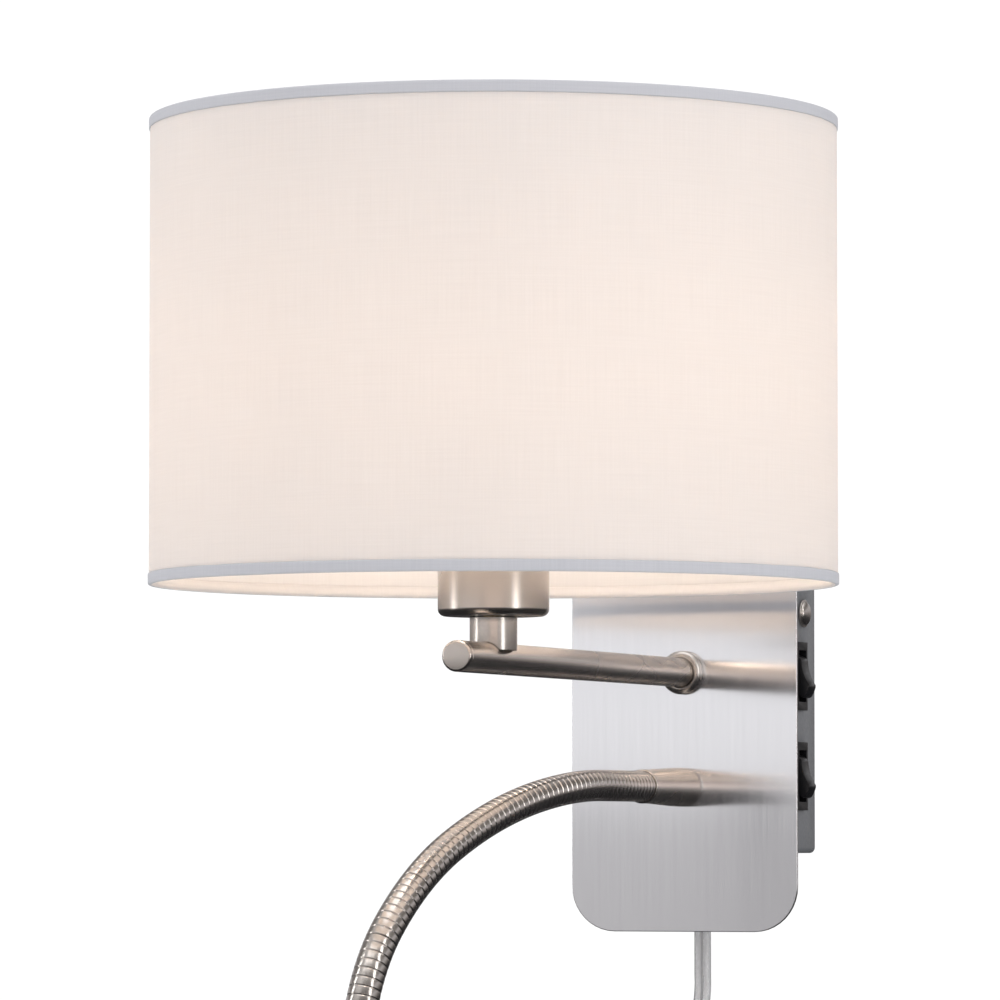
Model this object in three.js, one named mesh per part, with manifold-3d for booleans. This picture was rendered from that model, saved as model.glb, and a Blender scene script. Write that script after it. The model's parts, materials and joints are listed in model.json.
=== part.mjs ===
// Wall reading lamp: a drum shade on a straight arm, and an LED light on a flexible hose, on one back plate.
//
// Millimetres. Everything is drawn with x to the right, y up and z out of the wall. The outer group then
// turns the lamp so that +Z is up, the wall is the plane Y = 0 and the lamp stands out towards -Y. The origin
// is the centre of the wall bracket's back face.
import * as THREE from "three";
import { mergeVertices } from "three/addons/utils/BufferGeometryUtils.js";
import Module from "manifold-3d";

const wasm = await Module();
wasm.setup();

// ---- Driving dimensions ----
const GAP = 0.3; // between touching pieces
const ROUND = 24; // facets round a turned piece
const SMALL_ROUND = 12; // facets round a nut, screw or nipple
const FINE_ROUND = 56; // facets round the shade

const PLATE = { width: 105, height: 200, thick: 1.5, corner: 20 };
const BOX = { width: 95, height: 131, depth: 38.2, wall: 1.2, corner: 2.5 };
const BRACKET = { width: 80, height: 110, thick: 2, corner: 4, tabDepth: 22, tabHeight: 22, slotX: 25 };
const SIDE_NUT = { y: 40.1, z: 17, radius: 6.15, rim: 1, height: 3.2, bore: 2.3, boreDepth: 2.2 };
const SIDE_SCREW = { radius: 2, headRadius: 3.5, headHeight: 2.2, length: 8.1 };

const SWITCH_HEIGHTS = { upper: 12.3, lower: -31.7 };
const BEZEL = { height: 30, width: 14, thick: 1.7 };
const SWITCH = { z: 22.5, height: 26.8, width: 12.4, back: 31 };
const SWITCH_WELL = { height: 22.6, width: 10.2, floor: 40 };
const SWITCH_BLADE = { height: 6.3, thick: 0.8, length: 8, y: 7.5 };
const ROCKER = { pivotBehindBezel: 1.9, width: 9.4, tilt: 18 };

const NIPPLE = { radius: 4.8, bore: 3.5 };
const NIPPLE_HOLE = 5.1; // radius of every hole that a nipple passes
const HEX_NUT = { radius: 9.2, height: 3.2 };

const ARM = { y: 13.8, radius: 6.4, bore: 5.3, tip: 314.7, capThick: 2.9, plug: 11 };
const COLLAR = { radius: 9.6, length: 5 };

const SHADE = { z: 273, radius: 140, bottom: 43.6, height: 190, thick: 0.9 };
const TRIM = { height: 4.6, thick: 0.5 };
const SHADE_WIRE = { ringRadius: 137.6, radius: 1.3, inset: 1.9, armCount: 3, firstArm: 111 };
const FITTER = { bore: 20, radius: 25, thick: 1.5 };

const SLEEVE = { radius: 9.7, bottom: 17 };
const CUP = { radius: 22.7, bottom: 31, top: 78, wall: 1, corner: 3 };
const HOLDER = { bottom: 36, top: 86, radius: 19.5, bore: 16.5, floor: 46 };
const HOLDER_SHELL = { radius: 14.2, bore: 13.5, top: 72 };
const CLAMP_RING = { radius: 24, height: 3 };
const BULB_CAP = { radius: 13.1, bottom: 48, top: 73 };
const BULB = { radius: 30, neckRadius: 12.8, top: 156, wall: 1.2 };

const HOSE_ROOT_Y = -36.6;
const FERRULE = { length: 56, rootRadius: 8.5, tipRadius: 7.3 };
const HOSE = { radius: 6.7, bore: 4.6, sides: 16, segments: 8, bendGap: 3, steps: 4 };
// The hose leaves the plate square, turns sideways over one stretch and bends down in three arcs.
const HOSE_STRAIGHT = 100;
const HOSE_ARCS = [
  { radius: 264, turn: 25.6 },
  { radius: 145, turn: 21.8 },
  { radius: 82, turn: 42.6 },
];
const HOSE_SIDEWAYS = { from: 56, to: 150, turn: 14 };
const HEAD_COLLAR = { radius: 8.4, length: 12 };
const HEAD = { radius: 14, length: 62, wall: 1.4, bezelLength: 7, bezelRadius: 15 };

const DRIVER = { width: 44, height: 32, depth: 21, y: 43, corner: 3 };
const TERMINAL = { width: 24, height: 12, depth: 12, x: -23, y: -54, wells: 3, wellRadius: 1.8 };

const CORD_Z = 15;
const CORD = { radius: 3.8, sides: 10, steps: 14 };
const RELIEF = { flange: 6.5, neck: 4.2, root: 5.2, tip: 4.3, bottom: -95.5 };
// The free stretch of the cord, from the strain relief to its hank.
const CORD_ROUTE = [
  [0, -95.8, 15],
  [0, -103, 15],
  [0, -110, 15],
  [0, -118, 15],
  [0, -126, 15],
  [-0.9, -134, 15.2],
  [-3.3, -142, 15.6],
  [-6.9, -150, 16.3],
  [-11.3, -158, 17.1],
  [-16, -166, 18],
  [-20.8, -174, 18.9],
  [-25.2, -182, 19.7],
  [-28.8, -190, 20.4],
  [-31.2, -198, 20.8],
  [-32.1, -206.4, 21],
];
const HANK = { z: 17, top: -227, run: 115, radius: 34.2, waist: 14.4, thick: 16.4 };
const TIE = { thick: 1.6, height: 9, slack: 1.5 };
const PLUG_NECK = { top: -364, length: 30, radius: 4.6 };
const PLUG = { x: -32.1, z: 13, length: 30, width: 24, depth: 16 };
const BLADE = { width: 6.3, thick: 1.5, length: 16, spacing: 12.7 };

// ---- Colours and finishes ----
const finishes = {
  nickel: { color: 0xb9b4ad, roughness: 0.32, metalness: 1 },
  brushedPlate: { color: 0xb9b9be, roughness: 0.4, metalness: 1 },
  greySheet: { color: 0x6c6f75, roughness: 0.5, metalness: 0.6 },
  zincSteel: { color: 0xa7aaad, roughness: 0.45, metalness: 1 },
  brass: { color: 0xc2a25a, roughness: 0.35, metalness: 1 },
  blackPlastic: { color: 0x0b0b0c, roughness: 0.35, metalness: 0 },
  whitePlastic: { color: 0xe9e7e2, roughness: 0.5, metalness: 0 },
  porcelain: { color: 0xf1efe9, roughness: 0.3, metalness: 0 },
  fabric: { color: 0xe9e2d2, roughness: 0.95, metalness: 0 },
  trim: { color: 0xb3b7bd, roughness: 0.8, metalness: 0 },
  glass: { color: 0xf6f0e2, roughness: 0.2, metalness: 0 },
  clearFlex: { color: 0xc9ccd2, roughness: 0.25, metalness: 0 },
};

// ---- Solids ----
function turnInsideOutIfNeeded(geometry) {
  const at = geometry.attributes.position;
  const index = geometry.index;
  const corners = [new THREE.Vector3(), new THREE.Vector3(), new THREE.Vector3()];
  let volume = 0;
  for (let i = 0; i < index.count; i += 3) {
    corners.forEach((corner, k) => corner.fromBufferAttribute(at, index.getX(i + k)));
    volume += corners[0].dot(corners[1].clone().cross(corners[2]));
  }
  if (volume < 0) {
    index.array.reverse();
  }
  return geometry;
}

// Only positions, shared between faces, facing out.
function closed(geometry) {
  const bare = geometry.clone();
  bare.deleteAttribute("normal");
  bare.deleteAttribute("uv");
  return turnInsideOutIfNeeded(mergeVertices(bare, 1e-4));
}

function toSolid(geometry) {
  const { attributes, index } = closed(geometry);
  const vertProperties = Float32Array.from(attributes.position.array);
  const triVerts = Uint32Array.from(index.array);
  return new wasm.Manifold(new wasm.Mesh({ numProp: 3, vertProperties, triVerts }));
}

function toGeometry(solid) {
  const mesh = solid.getMesh();
  const geometry = new THREE.BufferGeometry();
  geometry.setAttribute("position", new THREE.BufferAttribute(mesh.vertProperties, 3));
  geometry.setIndex(new THREE.BufferAttribute(mesh.triVerts, 1));
  return geometry;
}

function join(...geometries) {
  return toGeometry(geometries.map(toSolid).reduce((whole, more) => whole.add(more)));
}

function cut(geometry, ...tools) {
  return toGeometry(tools.map(toSolid).reduce((rest, tool) => rest.subtract(tool), toSolid(geometry)));
}

// A block between two values along each axis.
function block([x0, x1], [y0, y1], [z0, z1]) {
  const box = new THREE.BoxGeometry(x1 - x0, y1 - y0, z1 - z0);
  return box.translate((x0 + x1) / 2, (y0 + y1) / 2, (z0 + z1) / 2);
}

function roundedRectangle(width, height, corner) {
  const x = width / 2;
  const y = height / 2;
  const shape = new THREE.Shape();
  shape.absarc(x - corner, y - corner, corner, 0, Math.PI / 2);
  shape.absarc(corner - x, y - corner, corner, Math.PI / 2, Math.PI);
  shape.absarc(corner - x, corner - y, corner, Math.PI, 1.5 * Math.PI);
  shape.absarc(x - corner, corner - y, corner, 1.5 * Math.PI, 2 * Math.PI);
  shape.closePath();
  return shape;
}

// A flat outline in x and y, given a thickness along z.
function slab(shape, z0, z1, curveSegments = 3) {
  const options = { depth: z1 - z0, bevelEnabled: false, curveSegments };
  return new THREE.ExtrudeGeometry(shape, options).translate(0, 0, z0);
}

// Points of [radius, height], turned about the y axis.
function turned(profile, facets = ROUND) {
  const points = profile.map(([radius, height]) => new THREE.Vector2(radius, height));
  return closed(new THREE.LatheGeometry(points, facets));
}

function tube(outer, inner, from, to, facets = ROUND) {
  return turned([[inner, from], [outer, from], [outer, to], [inner, to], [inner, from]], facets);
}

function rod(radius, from, to, facets = ROUND) {
  return turned([[0, from], [radius, from], [radius, to], [0, to]], facets);
}

// Points of an arc, from one angle to another in degrees.
function arc(radius, height, r, from, to, steps) {
  const points = [];
  for (let i = 0; i <= steps; i += 1) {
    const angle = THREE.MathUtils.degToRad(from + ((to - from) * i) / steps);
    points.push([radius + r * Math.cos(angle), height + r * Math.sin(angle)]);
  }
  return points;
}

// A piece drawn along y is laid along z, out of the wall, or along x.
const alongZ = (geometry) => geometry.rotateX(Math.PI / 2);
const alongX = (geometry) => geometry.rotateZ(-Math.PI / 2);

function piece(name, geometry, finish, x = 0, y = 0, z = 0) {
  const mesh = new THREE.Mesh(geometry, new THREE.MeshStandardMaterial(finishes[finish]));
  mesh.name = name;
  mesh.position.set(x, y, z);
  return mesh;
}

function group(...members) {
  const made = new THREE.Group();
  made.add(...members);
  return made;
}

// ---- Levels that follow from the dimensions ----
const plateBack = BOX.depth + GAP;
const plateFront = plateBack + PLATE.thick;
const boxSide = BOX.width / 2;
const bezelFace = boxSide + GAP + BEZEL.thick;
const shadeTop = SHADE.bottom + SHADE.height;

// ---- Back plate, box and bracket ----
function sideHoles(radius) {
  const hole = alongX(rod(radius, -BOX.width, BOX.width, SMALL_ROUND));
  return hole.translate(0, SIDE_NUT.y, SIDE_NUT.z);
}

function nippleHole(y) {
  return alongZ(rod(NIPPLE_HOLE, 0, 2 * plateFront, 16)).translate(0, y, 0);
}

function wallBracket() {
  const { width, height, thick, corner, tabDepth, tabHeight, slotX } = BRACKET;
  const tabOutside = boxSide - BOX.wall - GAP;
  const tabY = [SIDE_NUT.y - tabHeight / 2, SIDE_NUT.y + tabHeight / 2];
  const base = slab(roundedRectangle(width, height, corner), 0, thick);
  const strip = block([-tabOutside, tabOutside], tabY, [0, thick]);
  const tabs = [-1, 1].map((side) => {
    const across = [side * tabOutside, side * (tabOutside - thick)].sort((a, b) => a - b);
    return block(across, tabY, [0, tabDepth]);
  });
  const slot = roundedRectangle(5, 14, 2.4);
  const slots = [-slotX, slotX].map((x) => slab(slot, -1, thick + 1, 2).translate(x, 0, 0));
  return cut(join(base, strip, ...tabs), sideHoles(SIDE_NUT.bore), ...slots);
}

function wallBox() {
  const { width, height, depth, wall, corner } = BOX;
  const outside = slab(roundedRectangle(width, height, corner), 0, depth);
  const inside = slab(roundedRectangle(width - 2 * wall, height - 2 * wall, corner - wall), -1, depth - wall);
  const switchHoles = Object.values(SWITCH_HEIGHTS).map((y) => {
    const half = SWITCH.height / 2 + GAP;
    const across = SWITCH.width / 2 + GAP;
    return block([boxSide - 5, boxSide + 5], [y - half, y + half], [SWITCH.z - across, SWITCH.z + across]);
  });
  const cordHole = rod(RELIEF.neck + GAP, -height, 0).translate(0, 0, CORD_Z);
  const nippleHoles = [nippleHole(ARM.y), nippleHole(HOSE_ROOT_Y)];
  return cut(outside, inside, sideHoles(SIDE_NUT.bore), cordHole, ...switchHoles, ...nippleHoles);
}

function coverPlate() {
  const flat = slab(roundedRectangle(PLATE.width, PLATE.height, PLATE.corner), plateBack, plateFront, 6);
  return cut(flat, nippleHole(ARM.y), nippleHole(HOSE_ROOT_Y));
}

function capNut() {
  const { radius, rim, height, bore, boreDepth } = SIDE_NUT;
  const dome = [];
  for (let angle = 0; angle <= 90; angle += 22.5) {
    const a = THREE.MathUtils.degToRad(angle);
    dome.push([(radius - 1) * Math.cos(a), rim + (height - rim) * Math.sin(a)]);
  }
  dome[dome.length - 1][0] = 0;
  const thread = [[0, boreDepth], [bore, boreDepth], [bore, 0]];
  return turned([...thread, [radius, 0], [radius, rim], ...dome], 16);
}

function sideScrew() {
  const { radius, headRadius, headHeight, length } = SIDE_SCREW;
  const head = [[0, 0], [headRadius, 0], [headRadius, headHeight]];
  return turned([...head, [radius, headHeight], [radius, length], [0, length]], SMALL_ROUND);
}

function sideFasteners(name, side) {
  const tabInside = boxSide - BOX.wall - GAP - BRACKET.thick;
  const turn = side > 0 ? (g) => alongX(g) : (g) => g.rotateZ(Math.PI / 2);
  const screwHead = tabInside - GAP - SIDE_SCREW.headHeight;
  return [
    piece(`cap_nut_${name}`, turn(capNut()), "nickel", side * (boxSide + GAP), SIDE_NUT.y, SIDE_NUT.z),
    piece(`side_screw_${name}`, turn(sideScrew()), "zincSteel", side * screwHead, SIDE_NUT.y, SIDE_NUT.z),
  ];
}

function ledDriver() {
  const { width, height, depth, y, corner } = DRIVER;
  return slab(roundedRectangle(width, height, corner), BRACKET.thick + GAP, depth).translate(0, y, 0);
}

function terminalBlock() {
  const { width, height, depth, x, y, wells, wellRadius } = TERMINAL;
  const front = BRACKET.thick + GAP + depth;
  const body = slab(roundedRectangle(width, height, 1.5), BRACKET.thick + GAP, front, 3);
  const pitch = width / wells;
  const holes = [];
  for (let i = 0; i < wells; i += 1) {
    const well = alongZ(rod(wellRadius, front - 4, front + 4, SMALL_ROUND));
    holes.push(well.translate((i - (wells - 1) / 2) * pitch, 0, 0));
  }
  return cut(body, ...holes).translate(x, y, 0);
}

function backAssembly() {
  return group(
    piece("wall_bracket", wallBracket(), "zincSteel"),
    piece("wall_box", wallBox(), "greySheet"),
    piece("cover_plate", coverPlate(), "brushedPlate"),
    ...sideFasteners("right", 1),
    ...sideFasteners("left", -1),
    piece("led_driver", ledDriver(), "whitePlastic"),
    piece("terminal_block", terminalBlock(), "whitePlastic"),
  );
}

// ---- Rocker switches on the right side of the box ----
function switchBody() {
  const { height, width, back } = SWITCH;
  const half = (size) => [-size / 2, size / 2];
  const bezel = block([boxSide + GAP, bezelFace], half(BEZEL.height), half(BEZEL.width));
  const body = block([back, bezelFace - 1], half(height), half(width));
  const blades = [-SWITCH_BLADE.y, SWITCH_BLADE.y].map((y) => {
    const across = [y - SWITCH_BLADE.thick / 2, y + SWITCH_BLADE.thick / 2];
    return block([back - SWITCH_BLADE.length, back + 1], across, half(SWITCH_BLADE.height));
  });
  const well = block([SWITCH_WELL.floor, bezelFace + 1], half(SWITCH_WELL.height), half(SWITCH_WELL.width));
  return cut(join(bezel, body, ...blades), well);
}

// The rocker's section about its pivot, x out of the box: two raised lobes with a valley between them.
function rocker() {
  const section = new THREE.Shape();
  section.moveTo(-4, -3);
  section.lineTo(0.2, -10.2);
  section.lineTo(1.4, -10);
  section.quadraticCurveTo(5.6, -6.4, 4.6, -5);
  section.quadraticCurveTo(3.2, 0, 4.6, 5);
  section.quadraticCurveTo(5.6, 6.4, 1.4, 10);
  section.lineTo(0.2, 10.2);
  section.lineTo(-4, 3);
  section.closePath();
  return slab(section, -ROCKER.width / 2, ROCKER.width / 2, 5);
}

function switches() {
  const parts = [];
  for (const [name, y] of Object.entries(SWITCH_HEIGHTS)) {
    parts.push(piece(`switch_body_${name}`, switchBody(), "blackPlastic", 0, y, SWITCH.z));
    const pivot = bezelFace - ROCKER.pivotBehindBezel;
    const key = piece(`rocker_${name}`, rocker(), "blackPlastic", pivot, y, SWITCH.z);
    key.rotation.z = THREE.MathUtils.degToRad(ROCKER.tilt);
    parts.push(key);
  }
  return group(...parts);
}

// ---- Straight arm ----
function hexNut(bore = NIPPLE_HOLE) {
  const { radius, height } = HEX_NUT;
  const hole = rod(bore, -1, height + 1, SMALL_ROUND);
  return cut(new THREE.CylinderGeometry(radius, radius, height, 6).translate(0, height / 2, 0), hole);
}

// A threaded nipple and the nut that holds it inside the box.
function plateFixing(name, y, nippleEnd) {
  const nutZ = BOX.depth - BOX.wall - GAP - HEX_NUT.height;
  const nipple = tube(NIPPLE.radius, NIPPLE.bore, nutZ - 4, nippleEnd, 16);
  return [
    piece(`${name}_nipple`, alongZ(nipple), "brass", 0, y, 0),
    piece(`${name}_nut`, alongZ(hexNut()), "zincSteel", 0, y, nutZ),
  ];
}

function armCollar() {
  const bore = ARM.radius + GAP;
  const bulge = COLLAR.length / 2;
  const outside = arc(COLLAR.radius - bulge, bulge, bulge, -90, 90, 6);
  return turned([[bore, 0], ...outside, [bore, COLLAR.length], [bore, 0]]);
}

function armBar() {
  const tip = ARM.tip - ARM.capThick - GAP;
  const bar = alongZ(tube(ARM.radius, ARM.bore, plateFront + GAP, tip));
  const topHole = rod(NIPPLE_HOLE, 0, 2 * ARM.radius, 20).translate(0, 0, SHADE.z);
  return cut(bar, topHole);
}

function armEndCap() {
  const { radius, bore, capThick, plug } = ARM;
  const edge = arc(radius - 1, capThick - 1, 1, 0, 90, 3);
  const spigot = [[0, -plug], [bore - GAP, -plug], [bore - GAP, 0]];
  return turned([...spigot, [radius, 0], ...edge, [0, capThick + 0.3]]);
}

function armAssembly() {
  return group(
    ...plateFixing("arm", ARM.y, plateFront + 15),
    piece("arm_collar", alongZ(armCollar()), "nickel", 0, ARM.y, plateFront + GAP),
    piece("arm_bar", armBar(), "nickel", 0, ARM.y, 0),
    piece("arm_end_cap", alongZ(armEndCap()), "nickel", 0, ARM.y, ARM.tip - ARM.capThick),
  );
}

// ---- Lampholder on its sleeve, and the bulb ----
function spacerSleeve() {
  const sleeve = tube(SLEEVE.radius, NIPPLE_HOLE, SLEEVE.bottom, CUP.bottom - GAP);
  const saddle = alongZ(rod(ARM.radius + GAP, -20, 20)).translate(0, ARM.y, 0);
  return cut(sleeve, saddle);
}

function holderCup() {
  const { radius, bottom, top, wall, corner } = CUP;
  const outside = arc(radius - corner, bottom + corner, corner, -90, 0, 4);
  const inside = arc(radius - corner, bottom + corner, corner - wall, 0, -90, 3);
  const rim = [[radius, top], [radius - wall, top]];
  const hole = [[NIPPLE_HOLE, bottom + wall], [NIPPLE_HOLE, bottom]];
  return turned([[NIPPLE_HOLE, bottom], ...outside, ...rim, ...inside, ...hole]);
}

function lampholderBody() {
  const { bottom, top, radius, bore, floor } = HOLDER;
  return turned([[0, bottom], [radius, bottom], [radius, top], [bore, top], [bore, floor], [0, floor]]);
}

function bulbCap() {
  const { radius, bottom, top } = BULB_CAP;
  const contact = [[0, bottom], [4.5, bottom], [5, bottom + 2], [9.5, bottom + 4]];
  return turned([...contact, [radius, bottom + 7], [radius, top], [0, top]]);
}

// Neck, shoulder and round top of the bulb's outline, for an outside or an inside surface.
function bulbOutline(inset) {
  const { radius, neckRadius, top } = BULB;
  const centre = top - radius;
  const neck = [[neckRadius, BULB_CAP.top + GAP], [14, 80], [16, 89], [21.5, 102], [26.8, 113]];
  const crown = arc(0, centre, radius - inset, 0, 90, 5);
  crown[crown.length - 1][0] = 0;
  return [...neck.map(([r, y]) => [r - inset, y]), ...crown];
}

function bulbGlass() {
  return turned([...bulbOutline(BULB.wall).reverse(), ...bulbOutline(0)], 20);
}

function lampholder() {
  const clampBottom = CUP.top + 2 * GAP + FITTER.thick;
  const clampTop = clampBottom + CLAMP_RING.height;
  const clampRing = tube(CLAMP_RING.radius, HOLDER.radius + GAP, clampBottom, clampTop);
  const shell = tube(HOLDER_SHELL.radius, HOLDER_SHELL.bore, HOLDER.floor + GAP, HOLDER_SHELL.top);
  return group(
    piece("spacer_sleeve", spacerSleeve(), "nickel"),
    piece("stem_nipple", tube(NIPPLE.radius, NIPPLE.bore, ARM.y - 1, HOLDER.bottom - GAP, 16), "brass"),
    piece("holder_nut", hexNut(), "zincSteel", 0, CUP.bottom + CUP.wall + GAP, 0),
    piece("holder_cup", holderCup(), "nickel"),
    piece("lampholder_body", lampholderBody(), "porcelain"),
    piece("lampholder_shell", shell, "brass"),
    piece("shade_clamp_ring", clampRing, "nickel"),
    piece("bulb_cap", bulbCap(), "zincSteel"),
    piece("bulb_glass", bulbGlass(), "glass"),
  );
}

// ---- Shade ----
function ringOfWire(height) {
  const { ringRadius, radius } = SHADE_WIRE;
  return turned(arc(ringRadius, height, radius, 0, 360, 6), FINE_ROUND);
}

// A straight round rod between two points.
function rodBetween(from, to, radius) {
  const along = new THREE.Vector3().subVectors(to, from);
  const up = new THREE.Vector3(0, 1, 0);
  const turn = new THREE.Quaternion().setFromUnitVectors(up, along.clone().normalize());
  return rod(radius, 0, along.length(), 10).applyQuaternion(turn).translate(from.x, from.y, from.z);
}

function spiderArm(angle) {
  const level = CUP.top + GAP + FITTER.thick / 2;
  const inner = new THREE.Vector3(FITTER.radius + 2 * GAP, level, 0);
  const reach = SHADE_WIRE.ringRadius - SHADE_WIRE.radius - 2 * GAP;
  const outer = new THREE.Vector3(reach, SHADE.bottom + SHADE_WIRE.inset, 0);
  return rodBetween(inner, outer, SHADE_WIRE.radius).rotateY(angle);
}

function trimBand(bottom) {
  const inner = SHADE.radius + GAP;
  return tube(inner + TRIM.thick, inner, bottom, bottom + TRIM.height, FINE_ROUND);
}

function shade() {
  const { radius, thick, bottom } = SHADE;
  const fitterBottom = CUP.top + GAP;
  const fitter = tube(FITTER.radius, FITTER.bore, fitterBottom, fitterBottom + FITTER.thick);
  const parts = [
    piece("shade_fabric", tube(radius, radius - thick, bottom, shadeTop, FINE_ROUND), "fabric"),
    piece("shade_trim_bottom", trimBand(bottom), "trim"),
    piece("shade_trim_top", trimBand(shadeTop - TRIM.height), "trim"),
    piece("shade_wire_bottom", ringOfWire(bottom + SHADE_WIRE.inset), "zincSteel"),
    piece("shade_wire_top", ringOfWire(shadeTop - SHADE_WIRE.inset), "zincSteel"),
    piece("fitter_ring", fitter, "zincSteel"),
  ];
  for (let i = 0; i < SHADE_WIRE.armCount; i += 1) {
    const angle = THREE.MathUtils.degToRad(SHADE_WIRE.firstArm + (i * 360) / SHADE_WIRE.armCount);
    parts.push(piece(`spider_arm_${i + 1}`, spiderArm(angle), "zincSteel"));
  }
  return group(...parts);
}

// ---- Flexible hose ----
// How far the hose has bent down, and sideways, at a distance along it from the plate, in degrees.
function bentDown(distance) {
  let start = HOSE_STRAIGHT;
  let total = 0;
  for (const { radius, turn } of HOSE_ARCS) {
    const length = radius * THREE.MathUtils.degToRad(turn);
    total += turn * THREE.MathUtils.clamp((distance - start) / length, 0, 1);
    start += length;
  }
  return total;
}

function bentSideways(distance) {
  const { from, to, turn } = HOSE_SIDEWAYS;
  return turn * THREE.MathUtils.clamp((distance - from) / (to - from), 0, 1);
}

function hoseDirection(distance) {
  const down = THREE.MathUtils.degToRad(bentDown(distance));
  const side = THREE.MathUtils.degToRad(bentSideways(distance));
  const level = Math.cos(down);
  return new THREE.Vector3(-Math.sin(side) * level, -Math.sin(down), Math.cos(side) * level);
}

const hoseEnd = HOSE_STRAIGHT
  + HOSE_ARCS.reduce((sum, { radius, turn }) => sum + radius * THREE.MathUtils.degToRad(turn), 0);

// Points one millimetre apart or closer, from the plate to the head.
function hosePoints() {
  const count = Math.ceil(hoseEnd);
  const step = hoseEnd / count;
  const points = [new THREE.Vector3(0, HOSE_ROOT_Y, plateFront)];
  for (let i = 0; i < count; i += 1) {
    points.push(points[i].clone().addScaledVector(hoseDirection((i + 0.5) * step), step));
  }
  return points;
}

const hoseLine = hosePoints();

function hosePoint(distance) {
  const place = (distance / hoseEnd) * (hoseLine.length - 1);
  const low = Math.min(Math.floor(place), hoseLine.length - 2);
  return hoseLine[low].clone().lerp(hoseLine[low + 1], place - low);
}

function hoseSegment(from, to) {
  const points = [];
  for (let i = 0; i <= HOSE.steps; i += 1) {
    points.push(hosePoint(from + ((to - from) * i) / HOSE.steps));
  }
  const section = new THREE.Shape().absarc(0, 0, HOSE.radius, 0, 2 * Math.PI);
  section.holes.push(new THREE.Path().absarc(0, 0, HOSE.bore, 0, 2 * Math.PI));
  const extrudePath = new THREE.CatmullRomCurve3(points);
  const options = { extrudePath, steps: HOSE.steps, curveSegments: HOSE.sides / 2 };
  return new THREE.ExtrudeGeometry(section, options);
}

function ferrule() {
  const { length, rootRadius, tipRadius } = FERRULE;
  const end = length - HOSE.bendGap / 2;
  const outline = [0, 0.12, 0.3, 0.55, 0.8, 1].map((share) => {
    const radius = tipRadius + (rootRadius - tipRadius) * Math.cos((share * Math.PI) / 2) ** 1.5;
    return [Math.max(radius, tipRadius), share * end];
  });
  return turned([[NIPPLE_HOLE, 0], ...outline, [NIPPLE_HOLE, end], [NIPPLE_HOLE, 0]]);
}

// ---- Reading head at the hose's end, drawn along y away from the hose ----
function headCollar() {
  const { radius, length } = HEAD_COLLAR;
  const edge = arc(radius - 1.5, 1.5, 1.5, -90, 0, 4);
  return turned([[0, 0], ...edge, [radius, length], [0, length]]);
}

function headHousing() {
  const { radius, wall, length } = HEAD;
  const back = HEAD_COLLAR.length + GAP;
  const shoulder = arc(radius - 5, back + 5, 5, -90, 0, 4);
  const front = back + length;
  const inside = [[radius - wall, front], [radius - wall, back + 24], [0, back + 24]];
  return turned([[0, back], ...shoulder, [radius, front], ...inside]);
}

function headParts() {
  const { radius, wall, length, bezelLength, bezelRadius } = HEAD;
  const front = HEAD_COLLAR.length + GAP + length;
  const inside = radius - wall - GAP;
  const mouth = 11;
  const bezelBack = front + GAP;
  const bezelFront = bezelBack + bezelLength;
  const bezelOutside = [[radius, bezelBack], [bezelRadius, front + 2], [bezelRadius, bezelFront - 1]];
  const bezelRim = [[bezelRadius - 1, bezelFront], [mouth + 1.6, bezelFront], [mouth, bezelFront - 2]];
  const bezel = turned([[mouth, bezelBack], ...bezelOutside, ...bezelRim, [mouth, bezelBack]]);
  const cone = [[3, front - 23], [10.6, front - 4]];
  const reflector = turned([...cone, [inside, front - 4], [inside, front - 23], cone[0]]);
  return group(
    piece("head_collar", headCollar(), "nickel"),
    piece("head_housing", headHousing(), "nickel"),
    piece("head_led_board", rod(inside, front - 26, front - 24), "whitePlastic"),
    piece("head_reflector", reflector, "zincSteel"),
    piece("head_lens", rod(inside - 1.5, front - 3.6, front - 0.6), "glass"),
    piece("head_bezel", bezel, "nickel"),
  );
}

function readingHead() {
  const head = headParts();
  const direction = hoseDirection(hoseEnd);
  head.position.copy(hosePoint(hoseEnd)).addScaledVector(direction, GAP);
  head.quaternion.setFromUnitVectors(new THREE.Vector3(0, 1, 0), direction);
  return head;
}

function readingLight() {
  const segmentLength = (hoseEnd - FERRULE.length) / HOSE.segments;
  const parts = [
    ...plateFixing("hose", HOSE_ROOT_Y, plateFront + 12),
    piece("hose_ferrule", alongZ(ferrule()), "nickel", 0, HOSE_ROOT_Y, plateFront + GAP),
  ];
  for (let i = 0; i < HOSE.segments; i += 1) {
    const from = FERRULE.length + i * segmentLength + HOSE.bendGap / 2;
    const isLast = i === HOSE.segments - 1;
    const to = FERRULE.length + (i + 1) * segmentLength - (isLast ? GAP : HOSE.bendGap / 2);
    parts.push(piece(`hose_${i + 1}`, hoseSegment(from, to), "nickel"));
  }
  return group(...parts, readingHead());
}

// ---- Cord, hank and plug ----
function strainRelief() {
  const { flange, neck, root, tip, bottom } = RELIEF;
  const boxBottom = -BOX.height / 2;
  const inside = boxBottom + BOX.wall + GAP;
  const outside = boxBottom - GAP;
  return turned([
    [0, inside + 2],
    [flange, inside + 2],
    [flange, inside],
    [neck, inside],
    [neck, outside],
    [flange, outside],
    [flange, outside - 2],
    [root, outside - 3],
    [tip, bottom],
    [0, bottom],
  ]);
}

function cordLead() {
  const points = CORD_ROUTE.map(([x, y, z]) => new THREE.Vector3(x, y, z));
  const section = new THREE.Shape();
  for (let i = 0; i < CORD.sides; i += 1) {
    const angle = (i * 2 * Math.PI) / CORD.sides;
    section[i === 0 ? "moveTo" : "lineTo"](CORD.radius * Math.cos(angle), CORD.radius * Math.sin(angle));
  }
  section.closePath();
  const extrudePath = new THREE.CatmullRomCurve3(points);
  return new THREE.ExtrudeGeometry(section, { extrudePath, steps: CORD.steps });
}

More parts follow.
